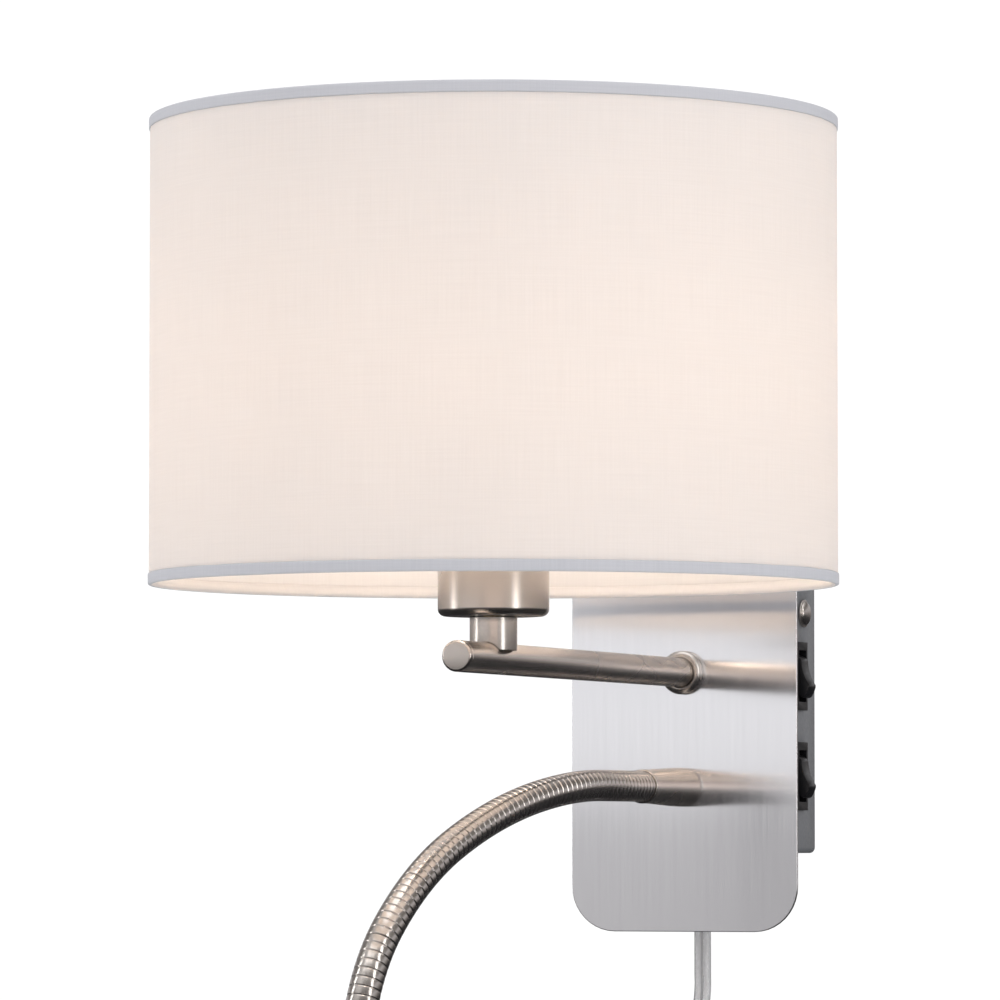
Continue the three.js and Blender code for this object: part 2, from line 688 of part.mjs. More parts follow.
// Two round folds with a waist between them, where the tie pulls the runs together.
function cordHank() {
  const { top, run, radius, waist, thick, z } = HANK;
  const bottom = top - run;
  const middle = top - run / 2;
  const ease = run / 4;
  const outline = new THREE.Shape();
  outline.absarc(0, top, radius, 0, Math.PI);
  outline.bezierCurveTo(-radius, top - ease, -waist, middle + ease, -waist, middle);
  outline.bezierCurveTo(-waist, middle - ease, -radius, bottom + ease, -radius, bottom);
  outline.absarc(0, bottom, radius, Math.PI, 2 * Math.PI);
  outline.bezierCurveTo(radius, bottom + ease, waist, middle - ease, waist, middle);
  outline.bezierCurveTo(waist, middle + ease, radius, top - ease, radius, top);
  return slab(outline, z - thick / 2, z + thick / 2, 8);
}

function hankTie() {
  const { thick, height } = TIE;
  const { waist, top, run, z } = HANK;
  const inner = { width: 2 * (waist + TIE.slack), depth: HANK.thick + 2 * GAP };
  const ring = roundedRectangle(inner.width + 2 * thick, inner.depth + 2 * thick, 3);
  ring.holes.push(roundedRectangle(inner.width, inner.depth, 1.6));
  const band = slab(ring, -height / 2, height / 2, 2).rotateX(Math.PI / 2);
  return band.translate(0, top - run / 2, z);
}

function plugBody() {
  const { length, width, depth } = PLUG;
  const { length: neckLength, radius } = PLUG_NECK;
  const neck = turned([[0, 0], [radius, 0], [radius + 2, -neckLength], [0, -neckLength - 1]], 16);
  const outline = roundedRectangle(depth, width, 5);
  const body = slab(outline, 0, length, 4).rotateX(Math.PI / 2).translate(0, -neckLength, 0);
  return join(neck, body);
}

function cordAssembly() {
  const { x, z, length } = PLUG;
  const bladeTop = PLUG_NECK.top - PLUG_NECK.length - length - GAP;
  const half = BLADE.spacing / 2;
  const bladeShape = () => {
    const across = [-BLADE.thick / 2, BLADE.thick / 2];
    return block(across, [-BLADE.length, 0], [-BLADE.width / 2, BLADE.width / 2]).rotateY(Math.PI / 2);
  };
  return group(
    piece("cord_strain_relief", strainRelief(), "clearFlex", 0, 0, CORD_Z),
    piece("cord_lead", cordLead(), "clearFlex"),
    piece("cord_hank", cordHank(), "clearFlex"),
    piece("hank_tie", hankTie(), "blackPlastic"),
    piece("plug_body", plugBody(), "clearFlex", x, PLUG_NECK.top, z),
    piece("plug_blade_front", bladeShape(), "brass", x, bladeTop, z + half),
    piece("plug_blade_back", bladeShape(), "brass", x, bladeTop, z - half),
  );
}

// ---- Whole lamp ----
const shadeAssembly = group(lampholder(), shade());
shadeAssembly.position.z = SHADE.z;

const lamp = group(backAssembly(), switches(), armAssembly(), shadeAssembly, readingLight(), cordAssembly());
lamp.rotation.x = Math.PI / 2;

export default lamp;
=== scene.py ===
"""Looks for the wall reading lamp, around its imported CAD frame.

Metres, in the frame's own axes: +Z is up, the wall is the plane Y = 0 and the lamp stands out towards -Y.
Profiles and details are written in millimetres and turned into metres as they are made.
"""
import json
import math

import bmesh
import bpy
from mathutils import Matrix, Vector

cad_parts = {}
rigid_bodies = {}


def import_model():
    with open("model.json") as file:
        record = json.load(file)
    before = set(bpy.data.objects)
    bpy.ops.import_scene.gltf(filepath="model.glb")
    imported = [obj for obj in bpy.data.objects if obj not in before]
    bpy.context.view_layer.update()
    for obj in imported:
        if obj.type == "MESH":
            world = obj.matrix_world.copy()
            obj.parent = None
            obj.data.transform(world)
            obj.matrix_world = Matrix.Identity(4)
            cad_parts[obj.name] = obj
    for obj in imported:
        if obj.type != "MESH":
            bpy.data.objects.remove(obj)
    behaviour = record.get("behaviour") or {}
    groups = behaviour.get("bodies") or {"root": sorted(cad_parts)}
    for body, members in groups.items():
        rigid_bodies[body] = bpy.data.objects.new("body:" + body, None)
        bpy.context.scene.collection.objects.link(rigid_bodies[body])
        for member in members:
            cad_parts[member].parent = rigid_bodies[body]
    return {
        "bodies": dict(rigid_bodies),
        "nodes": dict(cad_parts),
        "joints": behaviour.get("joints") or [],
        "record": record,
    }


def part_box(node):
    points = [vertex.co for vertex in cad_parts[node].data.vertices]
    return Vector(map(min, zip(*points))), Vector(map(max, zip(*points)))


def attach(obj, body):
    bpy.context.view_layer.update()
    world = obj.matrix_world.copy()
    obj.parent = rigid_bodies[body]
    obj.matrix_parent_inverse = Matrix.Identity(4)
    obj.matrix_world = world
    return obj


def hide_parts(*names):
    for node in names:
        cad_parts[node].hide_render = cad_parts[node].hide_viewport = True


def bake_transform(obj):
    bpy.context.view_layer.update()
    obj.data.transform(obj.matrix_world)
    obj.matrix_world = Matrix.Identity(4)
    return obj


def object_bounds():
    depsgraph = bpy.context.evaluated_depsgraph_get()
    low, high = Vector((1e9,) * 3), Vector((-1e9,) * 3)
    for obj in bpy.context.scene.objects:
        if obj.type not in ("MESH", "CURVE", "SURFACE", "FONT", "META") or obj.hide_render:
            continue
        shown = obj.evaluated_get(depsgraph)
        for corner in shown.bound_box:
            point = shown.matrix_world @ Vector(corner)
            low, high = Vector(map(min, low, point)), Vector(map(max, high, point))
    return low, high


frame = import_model()
cad_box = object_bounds()

MM = 0.001
TUBE_BORE = 5.1  # millimetres, through the pieces that sit on a threaded tube
UP = Vector((0, 0, 1))
DOWN = Vector((0, 0, -1))
OUT = Vector((0, -1, 0))
RIGHT = Vector((1, 0, 0))

# ---- Camera: a long lens, from the right and a little below the shade ----
CAMERA_AZIMUTH = math.radians(21)
CAMERA_TILT = math.radians(93.07)
CAMERA_DISTANCE = 2.6
CAMERA_TURNS_ABOUT = Vector((0, -0.2656, -0.0607))
CAMERA_LENS = 229.7


def make_camera():
    data = bpy.data.cameras.new("camera")
    data.lens = CAMERA_LENS
    data.sensor_width = 36
    camera = bpy.data.objects.new("camera", data)
    away = Vector((math.sin(CAMERA_AZIMUTH), -math.cos(CAMERA_AZIMUTH), 0))
    camera.location = CAMERA_TURNS_ABOUT + away * CAMERA_DISTANCE
    camera.rotation_euler = (CAMERA_TILT, 0, CAMERA_AZIMUTH)
    bpy.context.collection.objects.link(camera)
    bpy.context.scene.camera = camera


make_camera()


# ---- Meshes ----
def middle(node):
    low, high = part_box(node)
    return (low + high) / 2


def loft(name, rings, closed=False):
    """A skin over rings of points. The first and last ring are filled, or joined when it is closed."""
    mesh = bmesh.new()
    rows = [[mesh.verts.new(point) for point in ring] for ring in rings]
    pairs = list(zip(rows, rows[1:]))
    if closed:
        pairs.append((rows[-1], rows[0]))
    count = len(rows[0])
    for near, far in pairs:
        for i in range(count):
            j = (i + 1) % count
            mesh.faces.new((near[i], near[j], far[j], far[i]))
    if not closed:
        mesh.faces.new(list(reversed(rows[0])))
        mesh.faces.new(rows[-1])
    bmesh.ops.remove_doubles(mesh, verts=mesh.verts, dist=1e-6)
    bmesh.ops.recalc_face_normals(mesh, faces=mesh.faces)
    data = bpy.data.meshes.new(name)
    mesh.to_mesh(data)
    mesh.free()
    piece = bpy.data.objects.new(name, data)
    bpy.context.collection.objects.link(piece)
    data.shade_smooth()
    piece.modifiers.new("normals", "WEIGHTED_NORMAL").keep_sharp = True
    return piece


def filleted(profile, radius, closed=False, steps=4):
    """The profile with its corners rounded."""
    points = [Vector(p) for p in profile]
    count = len(points)
    rounded = []
    for i, corner in enumerate(points):
        if not closed and i in (0, count - 1):
            rounded.append(corner)
            continue
        before = points[i - 1] - corner
        after = points[(i + 1) % count] - corner
        if before.length < 1e-9 or after.length < 1e-9 or before.angle(after) > math.radians(155):
            rounded.append(corner)
            continue
        start = corner + before.normalized() * min(radius, before.length * 0.45)
        end = corner + after.normalized() * min(radius, after.length * 0.45)
        for step in range(steps + 1):
            t = step / steps
            rounded.append(start * (1 - t) ** 2 + corner * 2 * t * (1 - t) + end * t * t)
    return rounded


def arc(centre, radius, start, end, steps=8):
    """Points of an arc about centre, between two angles in degrees."""
    points = []
    for i in range(steps + 1):
        angle = math.radians(start + (end - start) * i / steps)
        points.append((centre[0] + radius * math.cos(angle), centre[1] + radius * math.sin(angle)))
    return points


def turned(name, profile, base, direction=UP, fillet=0.3, closed=False, sides=96):
    """A turned piece. The profile is (radius, distance from base along direction) in millimetres."""
    turn = Vector(direction).to_track_quat("Z", "Y").to_matrix()
    rings = []
    for radius, along in filleted(profile, fillet, closed) if fillet else profile:
        ring = []
        for i in range(sides):
            angle = 2 * math.pi * i / sides
            offset = Vector((radius * math.cos(angle), radius * math.sin(angle), along)) * MM
            ring.append(Vector(base) + turn @ offset)
        rings.append(ring)
    return loft(name, rings, closed)


def rounded_rectangle(width, height, corner, steps=10):
    """Points round a rectangle with round corners, centred on the origin."""
    points = []
    for quarter, (x, y) in enumerate([(1, 1), (-1, 1), (-1, -1), (1, -1)]):
        centre = (x * (width / 2 - corner), y * (height / 2 - corner))
        points += arc(centre, corner, 90 * quarter, 90 * quarter + 90, steps)
    return points


def slab(name, size, corner, profile, base, direction, across, fillet=0.3, closed=False):
    """A rounded block. The profile is (inset from its full size, distance along direction) in millimetres."""
    along = Vector(direction).normalized()
    side = Vector(across).normalized()
    other = along.cross(side)
    rings = []
    for inset, distance in filleted(profile, fillet, closed) if fillet else profile:
        outline = rounded_rectangle(size[0] - 2 * inset, size[1] - 2 * inset, max(corner - inset, 0.05))
        rings.append([Vector(base) + (side * a + other * b + along * distance) * MM for a, b in outline])
    return loft(name, rings, closed)


def smooth_line(points, step):
    """Points about step apart on a smooth curve through the given points."""
    points = [Vector(p) for p in points]
    whole = [points[0] * 2 - points[1], *points, points[-1] * 2 - points[-2]]
    line = []
    for a, b, c, d in zip(whole, whole[1:], whole[2:], whole[3:]):
        count = max(1, round((c - b).length / step))
        for i in range(count):
            t = i / count
            slope = (c - a) * t + (2 * a - 5 * b + 4 * c - d) * t * t + (3 * b - a - 3 * c + d) * t ** 3
            line.append(b + slope / 2)
    return line + [points[-1]]


def carried_frames(line, first_side):
    """For each point of a line, two directions square to it that turn with it as little as they can."""
    side = Vector(first_side)
    frames = []
    for i in range(len(line)):
        ahead = (line[min(i + 1, len(line) - 1)] - line[max(i - 1, 0)]).normalized()
        side = (side - ahead * side.dot(ahead)).normalized()
        frames.append((side.copy(), ahead.cross(side)))
    return frames


def rod_along(name, line, radius, sides=24):
    """A round rod of that radius in millimetres along a line, with rounded ends."""
    rings = []
    frames = carried_frames(line, (0.3, 0.2, 1))
    for i, point in enumerate(line):
        from_end = min(i, len(line) - 1 - i)
        size = radius * MM * (0.55, 0.85, 1)[min(from_end, 2)]
        side, other = frames[i]
        angles = [2 * math.pi * k / sides for k in range(sides)]
        rings.append([point + side * math.cos(a) * size + other * math.sin(a) * size for a in angles])
    return loft(name, rings)


# ---- The cord: straight out of its strain relief, then down to the hank ----
CORD_EXIT = Vector((0, -0.015, -0.0955))
CORD_WIDTH = 7.6
CORD_LOBE = 1.95
CORD_WIRE = 1.05
CORD_ROUTE = [
    (0, -0.015, -0.0958),
    (0, -0.015, -0.103),
    (0, -0.015, -0.110),
    (0, -0.015, -0.118),
    (0, -0.015, -0.126),
    (-0.0009, -0.0152, -0.134),
    (-0.0033, -0.0156, -0.142),
    (-0.0069, -0.0163, -0.150),
    (-0.0113, -0.0171, -0.158),
    (-0.0160, -0.0180, -0.166),
    (-0.0208, -0.0189, -0.174),
    (-0.0252, -0.0197, -0.182),
    (-0.0288, -0.0204, -0.190),
    (-0.0312, -0.0208, -0.198),
    (-0.0321, -0.0210, -0.2064),
]
CORD_TWISTS = (-0.132, -0.200)  # between these heights the flat cord turns to lie on its edge
CORD_STEP = 0.0025

HANK_TOP = -0.227
HANK_BOTTOM = -0.342
HANK_OUTER_LAYER = -0.021
HANK_INNER_LAYER = -0.013
HANK_PINCH = 0.0196
# Where each run of the hank lies: how far to the side, and in which layer.
HANK_RUNS = [
    (-0.0321, HANK_OUTER_LAYER),
    (0.0278, HANK_OUTER_LAYER),
    (-0.0278, HANK_OUTER_LAYER),
    (0.0235, HANK_OUTER_LAYER),
    (-0.0235, HANK_INNER_LAYER),
    (0.0235, HANK_INNER_LAYER),
    (-0.0278, HANK_INNER_LAYER),
    (0.0278, HANK_INNER_LAYER),
    (-0.0321, HANK_INNER_LAYER),
]
RUN_STEPS = 40
FOLD_STEPS = 28


def hank_line():
    """The turns of the hank. Each run is drawn in towards the tie at the middle of its length."""
    line = []
    for number, (x, y) in enumerate(HANK_RUNS):
        goes_down = number % 2 == 0
        start, end = (HANK_TOP, HANK_BOTTOM) if goes_down else (HANK_BOTTOM, HANK_TOP)
        for i in range(RUN_STEPS):
            t = i / RUN_STEPS
            pinch = HANK_PINCH * (1 - math.cos(2 * math.pi * t)) / 2
            line.append(Vector((math.copysign(abs(x) - pinch, x), y, start + (end - start) * t)))
        if number == len(HANK_RUNS) - 1:
            break
        next_x, next_y = HANK_RUNS[number + 1]
        centre, reach = (x + next_x) / 2, (x - next_x) / 2
        for i in range(FOLD_STEPS):
            t = i / FOLD_STEPS
            angle = math.pi * t
            ease = (1 - math.cos(angle)) / 2
            bulge = abs(reach) * math.sin(angle) * (-1 if goes_down else 1)
            line.append(Vector((centre + reach * math.cos(angle), y + (next_y - y) * ease, end + bulge)))
    return line


def cord_line():
    lead = smooth_line([(0, -0.015, -0.0925), *CORD_ROUTE, (-0.0321, -0.021, HANK_TOP + 0.004)], CORD_STEP)
    plug_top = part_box("plug_body")[1].z
    last = Vector((HANK_RUNS[-1][0], HANK_RUNS[-1][1], HANK_BOTTOM))
    tail = [last, last.lerp(Vector((last.x, last.y, plug_top - 0.002)), 0.5)]
    tail.append(Vector((last.x, last.y, plug_top - 0.002)))
    return lead[:-1] + hank_line() + tail


def cord_sides(line):
    """Across the flat cord at each point: along X where it leaves the lamp, along Y in the hank."""
    high, low = CORD_TWISTS
    in_the_hank = len(CORD_ROUTE) * 4  # by this point the lead is over and the cord lies on its edge
    sides = []
    for i, point in enumerate(line):
        ahead = (line[min(i + 1, len(line) - 1)] - line[max(i - 1, 0)]).normalized()
        t = min(max((high - point.z) / (high - low), 0), 1)
        if i > in_the_hank:
            t = 1
        turn = (t * t * (3 - 2 * t)) * math.pi / 2
        side = Vector((math.cos(turn), math.sin(turn), 0))
        side = (side - ahead * side.dot(ahead)).normalized()
        sides.append((side, ahead.cross(side)))
    return sides


def twin_outline():
    """Round the flat twin cord: two round lobes with a groove on each face between them."""
    centre = CORD_WIDTH / 2 - CORD_LOBE
    right = arc((centre, 0), CORD_LOBE, -132, 132, 14)
    left = arc((-centre, 0), CORD_LOBE, 48, 312, 14)
    return right + left


def make_cord():
    line = cord_line()
    sides = cord_sides(line)
    outline = twin_outline()
    rings = [[p + (s * a + o * b) * MM for a, b in outline] for p, (s, o) in zip(line, sides)]
    flex = loft("power_cord", rings)
    wires = []
    centre = CORD_WIDTH / 2 - CORD_LOBE
    for name, offset in (("left", -centre), ("right", centre)):
        round_wire = arc((offset, 0), CORD_WIRE, 0, 324, 9)
        rings = [[p + (s * a + o * b) * MM for a, b in round_wire] for p, (s, o) in zip(line, sides)]
        wires.append(loft(f"cord_wire_{name}", rings))
    return line, flex, wires


cord_path, cord_flex, cord_wires = make_cord()


# ---- Materials ----
class Look:
    """A material's node tree, with short names for the nodes that these materials use."""

    def __init__(self, name, colour, roughness, metallic=0.0, **more):
        self.material = bpy.data.materials.new(name)
        self.material.use_nodes = True
        self.tree = self.material.node_tree
        self.shader = self.tree.nodes["Principled BSDF"]
        self.set("Base Color", (*colour, 1))
        self.set("Roughness", roughness)
        self.set("Metallic", metallic)
        for socket, value in more.items():
            self.set(socket.replace("_", " "), value)

    def set(self, socket, value):
        self.shader.inputs[socket].default_value = value

    def node(self, kind, inputs=None, **settings):
        made = self.tree.nodes.new(kind)
        for key, value in settings.items():
            setattr(made, key, value)
        for key, value in (inputs or {}).items():
            if isinstance(value, bpy.types.NodeSocket):
                self.tree.links.new(value, made.inputs[key])
            else:
                made.inputs[key].default_value = value
        return made

    def place(self, stretch=(1, 1, 1), kind="Object"):
        coordinates = self.node("ShaderNodeTexCoord").outputs[kind]
        return self.node("ShaderNodeMapping", {"Vector": coordinates, "Scale": stretch}).outputs[0]

    def noise(self, scale, detail=2.0, stretch=(1, 1, 1), kind="Object"):
        place = self.place(stretch, kind)
        inputs = {"Vector": place, "Scale": scale, "Detail": detail}
        return self.node("ShaderNodeTexNoise", inputs).outputs[0]

    def spread(self, value, low, high, start=0.3, end=0.7):
        inputs = {"Value": value, "From Min": start, "From Max": end, "To Min": low, "To Max": high}
        return self.node("ShaderNodeMapRange", inputs).outputs[0]

    def math(self, operation, a, b=0.0):
        return self.node("ShaderNodeMath", {0: a, 1: b}, operation=operation).outputs[0]

    def colours(self, value, first, second):
        ramp = self.node("ShaderNodeValToRGB", {"Fac": value})
        ramp.color_ramp.elements[0].position = 0.3
        ramp.color_ramp.elements[0].color = (*first, 1)
        ramp.color_ramp.elements[1].position = 0.7
        ramp.color_ramp.elements[1].color = (*second, 1)
        return ramp.outputs[0]

    def feed(self, socket, value):
        self.tree.links.new(value, self.shader.inputs[socket])

    def bump(self, height, depth, strength=1.0):
        """Raises the surface by up to depth millimetres where height is 1."""
        inputs = {"Height": height, "Strength": strength, "Distance": depth * MM}
        self.feed("Normal", self.node("ShaderNodeBump", inputs).outputs[0])


def satin_nickel():
    look = Look("satin_nickel", (0.61, 0.565, 0.525), 0.27, 1.0)
    look.feed("Roughness", look.spread(look.noise(25, 1), 0.268, 0.276))
    return look.material


def brushed_plate():
    """Vertical brushing: fine ridges run along Z and vary quickly along X."""
    look = Look("brushed_plate", (0.80, 0.805, 0.825), 0.15, 1.0, Anisotropic=1.0)
    streaks = look.noise(2600, 3, (1, 1, 0.012))
    broad = look.noise(420, 2, (1, 1, 0.03))
    both = look.math("ADD", look.math("MULTIPLY", streaks, 0.6), look.math("MULTIPLY", broad, 0.4))
    look.feed("Base Color", look.colours(both, (0.775, 0.78, 0.80), (0.825, 0.83, 0.85)))
    look.feed("Roughness", look.spread(both, 0.14, 0.165))
    look.bump(streaks, 0.001)
    tangent = look.node("ShaderNodeTangent", direction_type="UV_MAP", uv_map="UVMap").outputs[0]
    look.feed("Tangent", tangent)
    return look.material


def hose_nickel():
    look = Look("hose_nickel", (0.60, 0.56, 0.525), 0.23, 1.0)
    look.feed("Roughness", look.spread(look.noise(25, 1), 0.22, 0.23))
    return look.material


def grey_box():
    # The box's sheet metal is grey; this dark base colour is partly painted shade, standing for the shade its
    # side face sits in.
    look = Look("grey_box", (0.215, 0.22, 0.23), 0.42, 0.35, Coat_Weight=0.12)
    look.feed("Roughness", look.spread(look.noise(700, 3), 0.36, 0.5))
    look.bump(look.noise(1400, 3), 0.02)
    return look.material


def zinc_steel():
    look = Look("zinc_steel", (0.6, 0.61, 0.62), 0.4, 1.0)
    look.feed("Base Color", look.colours(look.noise(260, 4), (0.52, 0.53, 0.54), (0.68, 0.69, 0.69)))
    look.feed("Roughness", look.spread(look.noise(420, 3), 0.32, 0.5))
    look.bump(look.noise(2600, 2), 0.01)
    return look.material


def reflector_aluminium():
    look = Look("reflector_aluminium", (0.86, 0.87, 0.88), 0.14, 1.0)
    look.feed("Roughness", look.spread(look.noise(1500, 2), 0.1, 0.2))
    return look.material


def brass():
    look = Look("brass", (0.72, 0.54, 0.26), 0.34, 1.0)
    look.feed("Base Color", look.colours(look.noise(300, 4), (0.62, 0.45, 0.21), (0.78, 0.6, 0.3)))
    look.feed("Roughness", look.spread(look.noise(900, 3), 0.26, 0.42))
    return look.material


def black_plastic():
    look = Look("black_plastic", (0.007, 0.007, 0.008), 0.34, IOR=1.4)
    look.feed("Roughness", look.spread(look.noise(1600, 2), 0.3, 0.38))
    look.bump(look.noise(3000, 2), 0.002)
    return look.material


def tie_fabric():
    """Hook-and-loop tape: a dense black pile."""
    look = Look("tie_fabric", (0.016, 0.016, 0.018), 0.85, Sheen_Weight=0.25, Sheen_Roughness=0.5)
    look.bump(look.noise(3800, 3), 0.12)
    return look.material


def white_plastic():
    look = Look("white_plastic", (0.82, 0.82, 0.79), 0.48)
    look.feed("Roughness", look.spread(look.noise(1300, 3), 0.42, 0.56))
    look.bump(look.noise(3600, 2), 0.012)
    return look.material


def porcelain():
    look = Look("porcelain", (0.87, 0.86, 0.82), 0.22, Coat_Weight=0.5, Coat_Roughness=0.08)
    look.feed("Base Color", look.colours(look.noise(90, 4), (0.84, 0.83, 0.79), (0.90, 0.89, 0.86)))
    return look.material


def lit_bulb():
    look = Look("bulb_glass", (0.95, 0.93, 0.88), 0.35)
    look.set("Emission Color", (1.0, 0.79, 0.61, 1))
    look.set("Emission Strength", BULB_GLOW)
    look.feed("Roughness", look.spread(look.noise(400, 2), 0.3, 0.45))
    return look.material


def lens_glass():
    look = Look("lens_glass", (0.97, 0.98, 0.99), 0.06, Transmission_Weight=1.0, IOR=1.49)
    look.feed("Roughness", look.spread(look.noise(500, 2), 0.03, 0.1))
    return look.material


def clear_flex():
    """Clear flexible PVC, a little smoky and never quite smooth."""
    look = Look("clear_flex", (0.96, 0.965, 0.98), 0.1, Transmission_Weight=0.82, IOR=1.45)
    look.feed("Roughness", look.spread(look.noise(260, 3), 0.05, 0.17))
    return look.material


def moulded_clear():
    """The plug and the strain relief: thicker and cloudier than the cord's skin."""
    look = Look("moulded_clear", (0.88, 0.89, 0.91), 0.22, Transmission_Weight=0.6, IOR=1.45)
    look.feed("Roughness", look.spread(look.noise(300, 3), 0.16, 0.3))
    return look.material


def tinned_wire():
    look = Look("tinned_wire", (0.90, 0.89, 0.88), 0.35, 0.45)
    strands = look.noise(2400, 2, (1, 1, 0.35))
    look.feed("Base Color", look.colours(strands, (0.80, 0.79, 0.78), (0.95, 0.94, 0.93)))
    look.bump(strands, 0.12)
    return look.material


def led_yellow():
    look = Look("led_phosphor", (0.85, 0.68, 0.16), 0.4)
    look.feed("Roughness", look.spread(look.noise(2000, 2), 0.32, 0.5))
    return look.material


WEAVE_PITCH = 0.00055


def weave(look):
    """Crossed threads with thick and thin places, from the drum's map of metres round and metres up."""
    steps = look.node("ShaderNodeSeparateXYZ", {0: look.node("ShaderNodeTexCoord").outputs["UV"]})
    thread = 2 * math.pi / WEAVE_PITCH
    round_way = look.math("SINE", look.math("MULTIPLY", steps.outputs[0], thread))
    up_way = look.math("SINE", look.math("MULTIPLY", steps.outputs[1], thread))
    crossing = look.math("MULTIPLY", round_way, up_way)
    upright = look.noise(1500, 3, (1, 0.02, 1), "UV")
    level = look.noise(1500, 3, (0.02, 1, 1), "UV")
    slubs = look.math("ADD", upright, level)
    return crossing, look.math("MULTIPLY", slubs, 0.5)


def cloth(name, dark, light, through, passes):
    """Woven cloth that lets a share of the light through."""
    look = Look(name, light, 0.92, Sheen_Weight=0.12, Sheen_Roughness=0.6)
    crossing, slubs = weave(look)
    colour = look.colours(slubs, dark, light)
    look.feed("Base Color", colour)
    height = look.math("ADD", look.math("MULTIPLY", crossing, 0.3), slubs)
    look.bump(height, 0.05)
    glow = look.node("ShaderNodeBsdfTranslucent", {"Color": look.colours(slubs, *through)})
    output = look.tree.nodes["Material Output"]
    inputs = {"Fac": passes, 1: look.shader.outputs[0], 2: glow.outputs[0]}
    mixed = look.node("ShaderNodeMixShader", inputs)
    look.tree.links.new(mixed.outputs[0], output.inputs["Surface"])
    return look.material


BULB_GLOW = 16.0

LOOKS = {
    "brushed_plate": brushed_plate(),
    "satin_nickel": satin_nickel(),
    "head_nickel": satin_nickel(),
    "grey_box": grey_box(),
    "zinc_steel": zinc_steel(),
    "reflector_aluminium": reflector_aluminium(),
    "brass": brass(),
    "black_plastic": black_plastic(),
    "white_plastic": white_plastic(),
    "porcelain": porcelain(),
    "bulb_glass": lit_bulb(),
    "lens_glass": lens_glass(),
    "shade_fabric": cloth(
        "shade_fabric",
        dark=(0.80, 0.785, 0.775),
        light=(0.84, 0.825, 0.815),
        through=((0.87, 0.81, 0.76), (0.915, 0.855, 0.805)),
        passes=0.42,
    ),
    # The hem is a real band of cloth that lets little light through; its grey-blue colour is painted shade,
    # standing for the glow the double cloth and the wire inside hold back.
    "shade_trim": cloth(
        "shade_trim",
        dark=(0.55, 0.55, 0.58),
        light=(0.60, 0.60, 0.63),
        through=((0.5, 0.5, 0.52), (0.6, 0.6, 0.62)),
        passes=0.12,
    ),
    "clear_flex": moulded_clear(),
}
HOSE_LOOK = hose_nickel()
CORD_LOOK = clear_flex()
WIRE_LOOK = tinned_wire()
TIE_LOOK = tie_fabric()
LED_LOOK = led_yellow()

SLOT_OF = {row["node"]: row["material_slot"] for row in frame["record"]["subparts"]}


def dress(piece, node, body="base", look=None, replaced=None):
    """Gives a piece its material, picked by its node's slot unless a look is given, and its body, and hides
    the CAD nodes that it stands for.
    """
    piece.data.materials.clear()
    piece.data.materials.append(look or LOOKS[SLOT_OF[node]])
    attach(piece, body)
    for hidden in [node] if replaced is None else replaced:
        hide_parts(hidden)
    return piece


# ---- CAD nodes that are shown as they are ----
def soft_edges():
    """A node group that shades a mesh smooth and keeps its corners sharp."""
    group = bpy.data.node_groups.new("soft_edges", "GeometryNodeTree")
    group.interface.new_socket("Geometry", in_out="INPUT", socket_type="NodeSocketGeometry")
    group.interface.new_socket("Geometry", in_out="OUTPUT", socket_type="NodeSocketGeometry")
    start = group.nodes.new("NodeGroupInput")
    end = group.nodes.new("NodeGroupOutput")
    faces = group.nodes.new("GeometryNodeSetShadeSmooth")
    edges = group.nodes.new("GeometryNodeSetShadeSmooth")
    edges.domain = "EDGE"
    angle = group.nodes.new("GeometryNodeInputMeshEdgeAngle")
    flat = group.nodes.new("FunctionNodeCompare")
    flat.operation = "LESS_THAN"
    flat.inputs["B"].default_value = math.radians(32)
    group.links.new(angle.outputs[0], flat.inputs["A"])
    group.links.new(start.outputs[0], faces.inputs["Geometry"])
    group.links.new(faces.outputs[0], edges.inputs["Geometry"])
    group.links.new(flat.outputs[0], edges.inputs["Shade Smooth"])
    group.links.new(edges.outputs[0], end.inputs[0])
    return group


SOFT_EDGES = soft_edges()
# How far each CAD node's edges are broken, in millimetres. What isn't listed keeps its edges.
EDGE_BREAK = {
    "wall_box": 0.35,
    "wall_bracket": 0.3,
    "led_driver": 0.8,
    "terminal_block": 0.4,
    "switch_body_upper": 0.3,
    "switch_body_lower": 0.3,
    "rocker_upper": 0.35,
    "rocker_lower": 0.35,
    "arm_nut": 0.3,
    "hose_nut": 0.3,
    "holder_nut": 0.3,
    "plug_blade_front": 0.3,
    "plug_blade_back": 0.3,
}


def dress_cad_nodes():
    for name, node in frame["nodes"].items():
        node.data.materials.clear()
        node.data.materials.append(LOOKS[SLOT_OF[name]])
        node.modifiers.new("weld", "WELD").merge_threshold = 1e-6
        if name in EDGE_BREAK:
            bevel = node.modifiers.new("edges", "BEVEL")
            bevel.width = EDGE_BREAK[name] * MM
            bevel.segments = 2
            bevel.limit_method = "ANGLE"
            bevel.angle_limit = math.radians(40)
        node.modifiers.new("shading", "NODES").node_group = SOFT_EDGES


dress_cad_nodes()


# ---- Back plate and its fasteners ----
def map_flat(piece, u_axis, v_axis):
    """A flat map of the piece, in metres along two directions."""
    layer = piece.data.uv_layers.new(name="UVMap")
    for loop in piece.data.loops:
        point = piece.data.vertices[loop.vertex_index].co
        layer.data[loop.index].uv = (point.dot(u_axis), point.dot(v_axis))


def make_plate():
    low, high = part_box("cover_plate")
    size = (high - low) / MM
    base = ((low.x + high.x) / 2, high.y, (low.z + high.z) / 2)
    plate = slab("front_plate", (size.x, size.z), 20, [(0, 0), (0, size.y)], base, OUT, RIGHT, fillet=0)
    bevel = plate.modifiers.new("edges", "BEVEL")
    bevel.width = 0.35 * MM
    bevel.segments = 3
    bevel.limit_method = "ANGLE"
    plate.modifiers.move(plate.modifiers.find("edges"), 0)
    map_flat(plate, RIGHT, UP)
    dress(plate, "cover_plate")


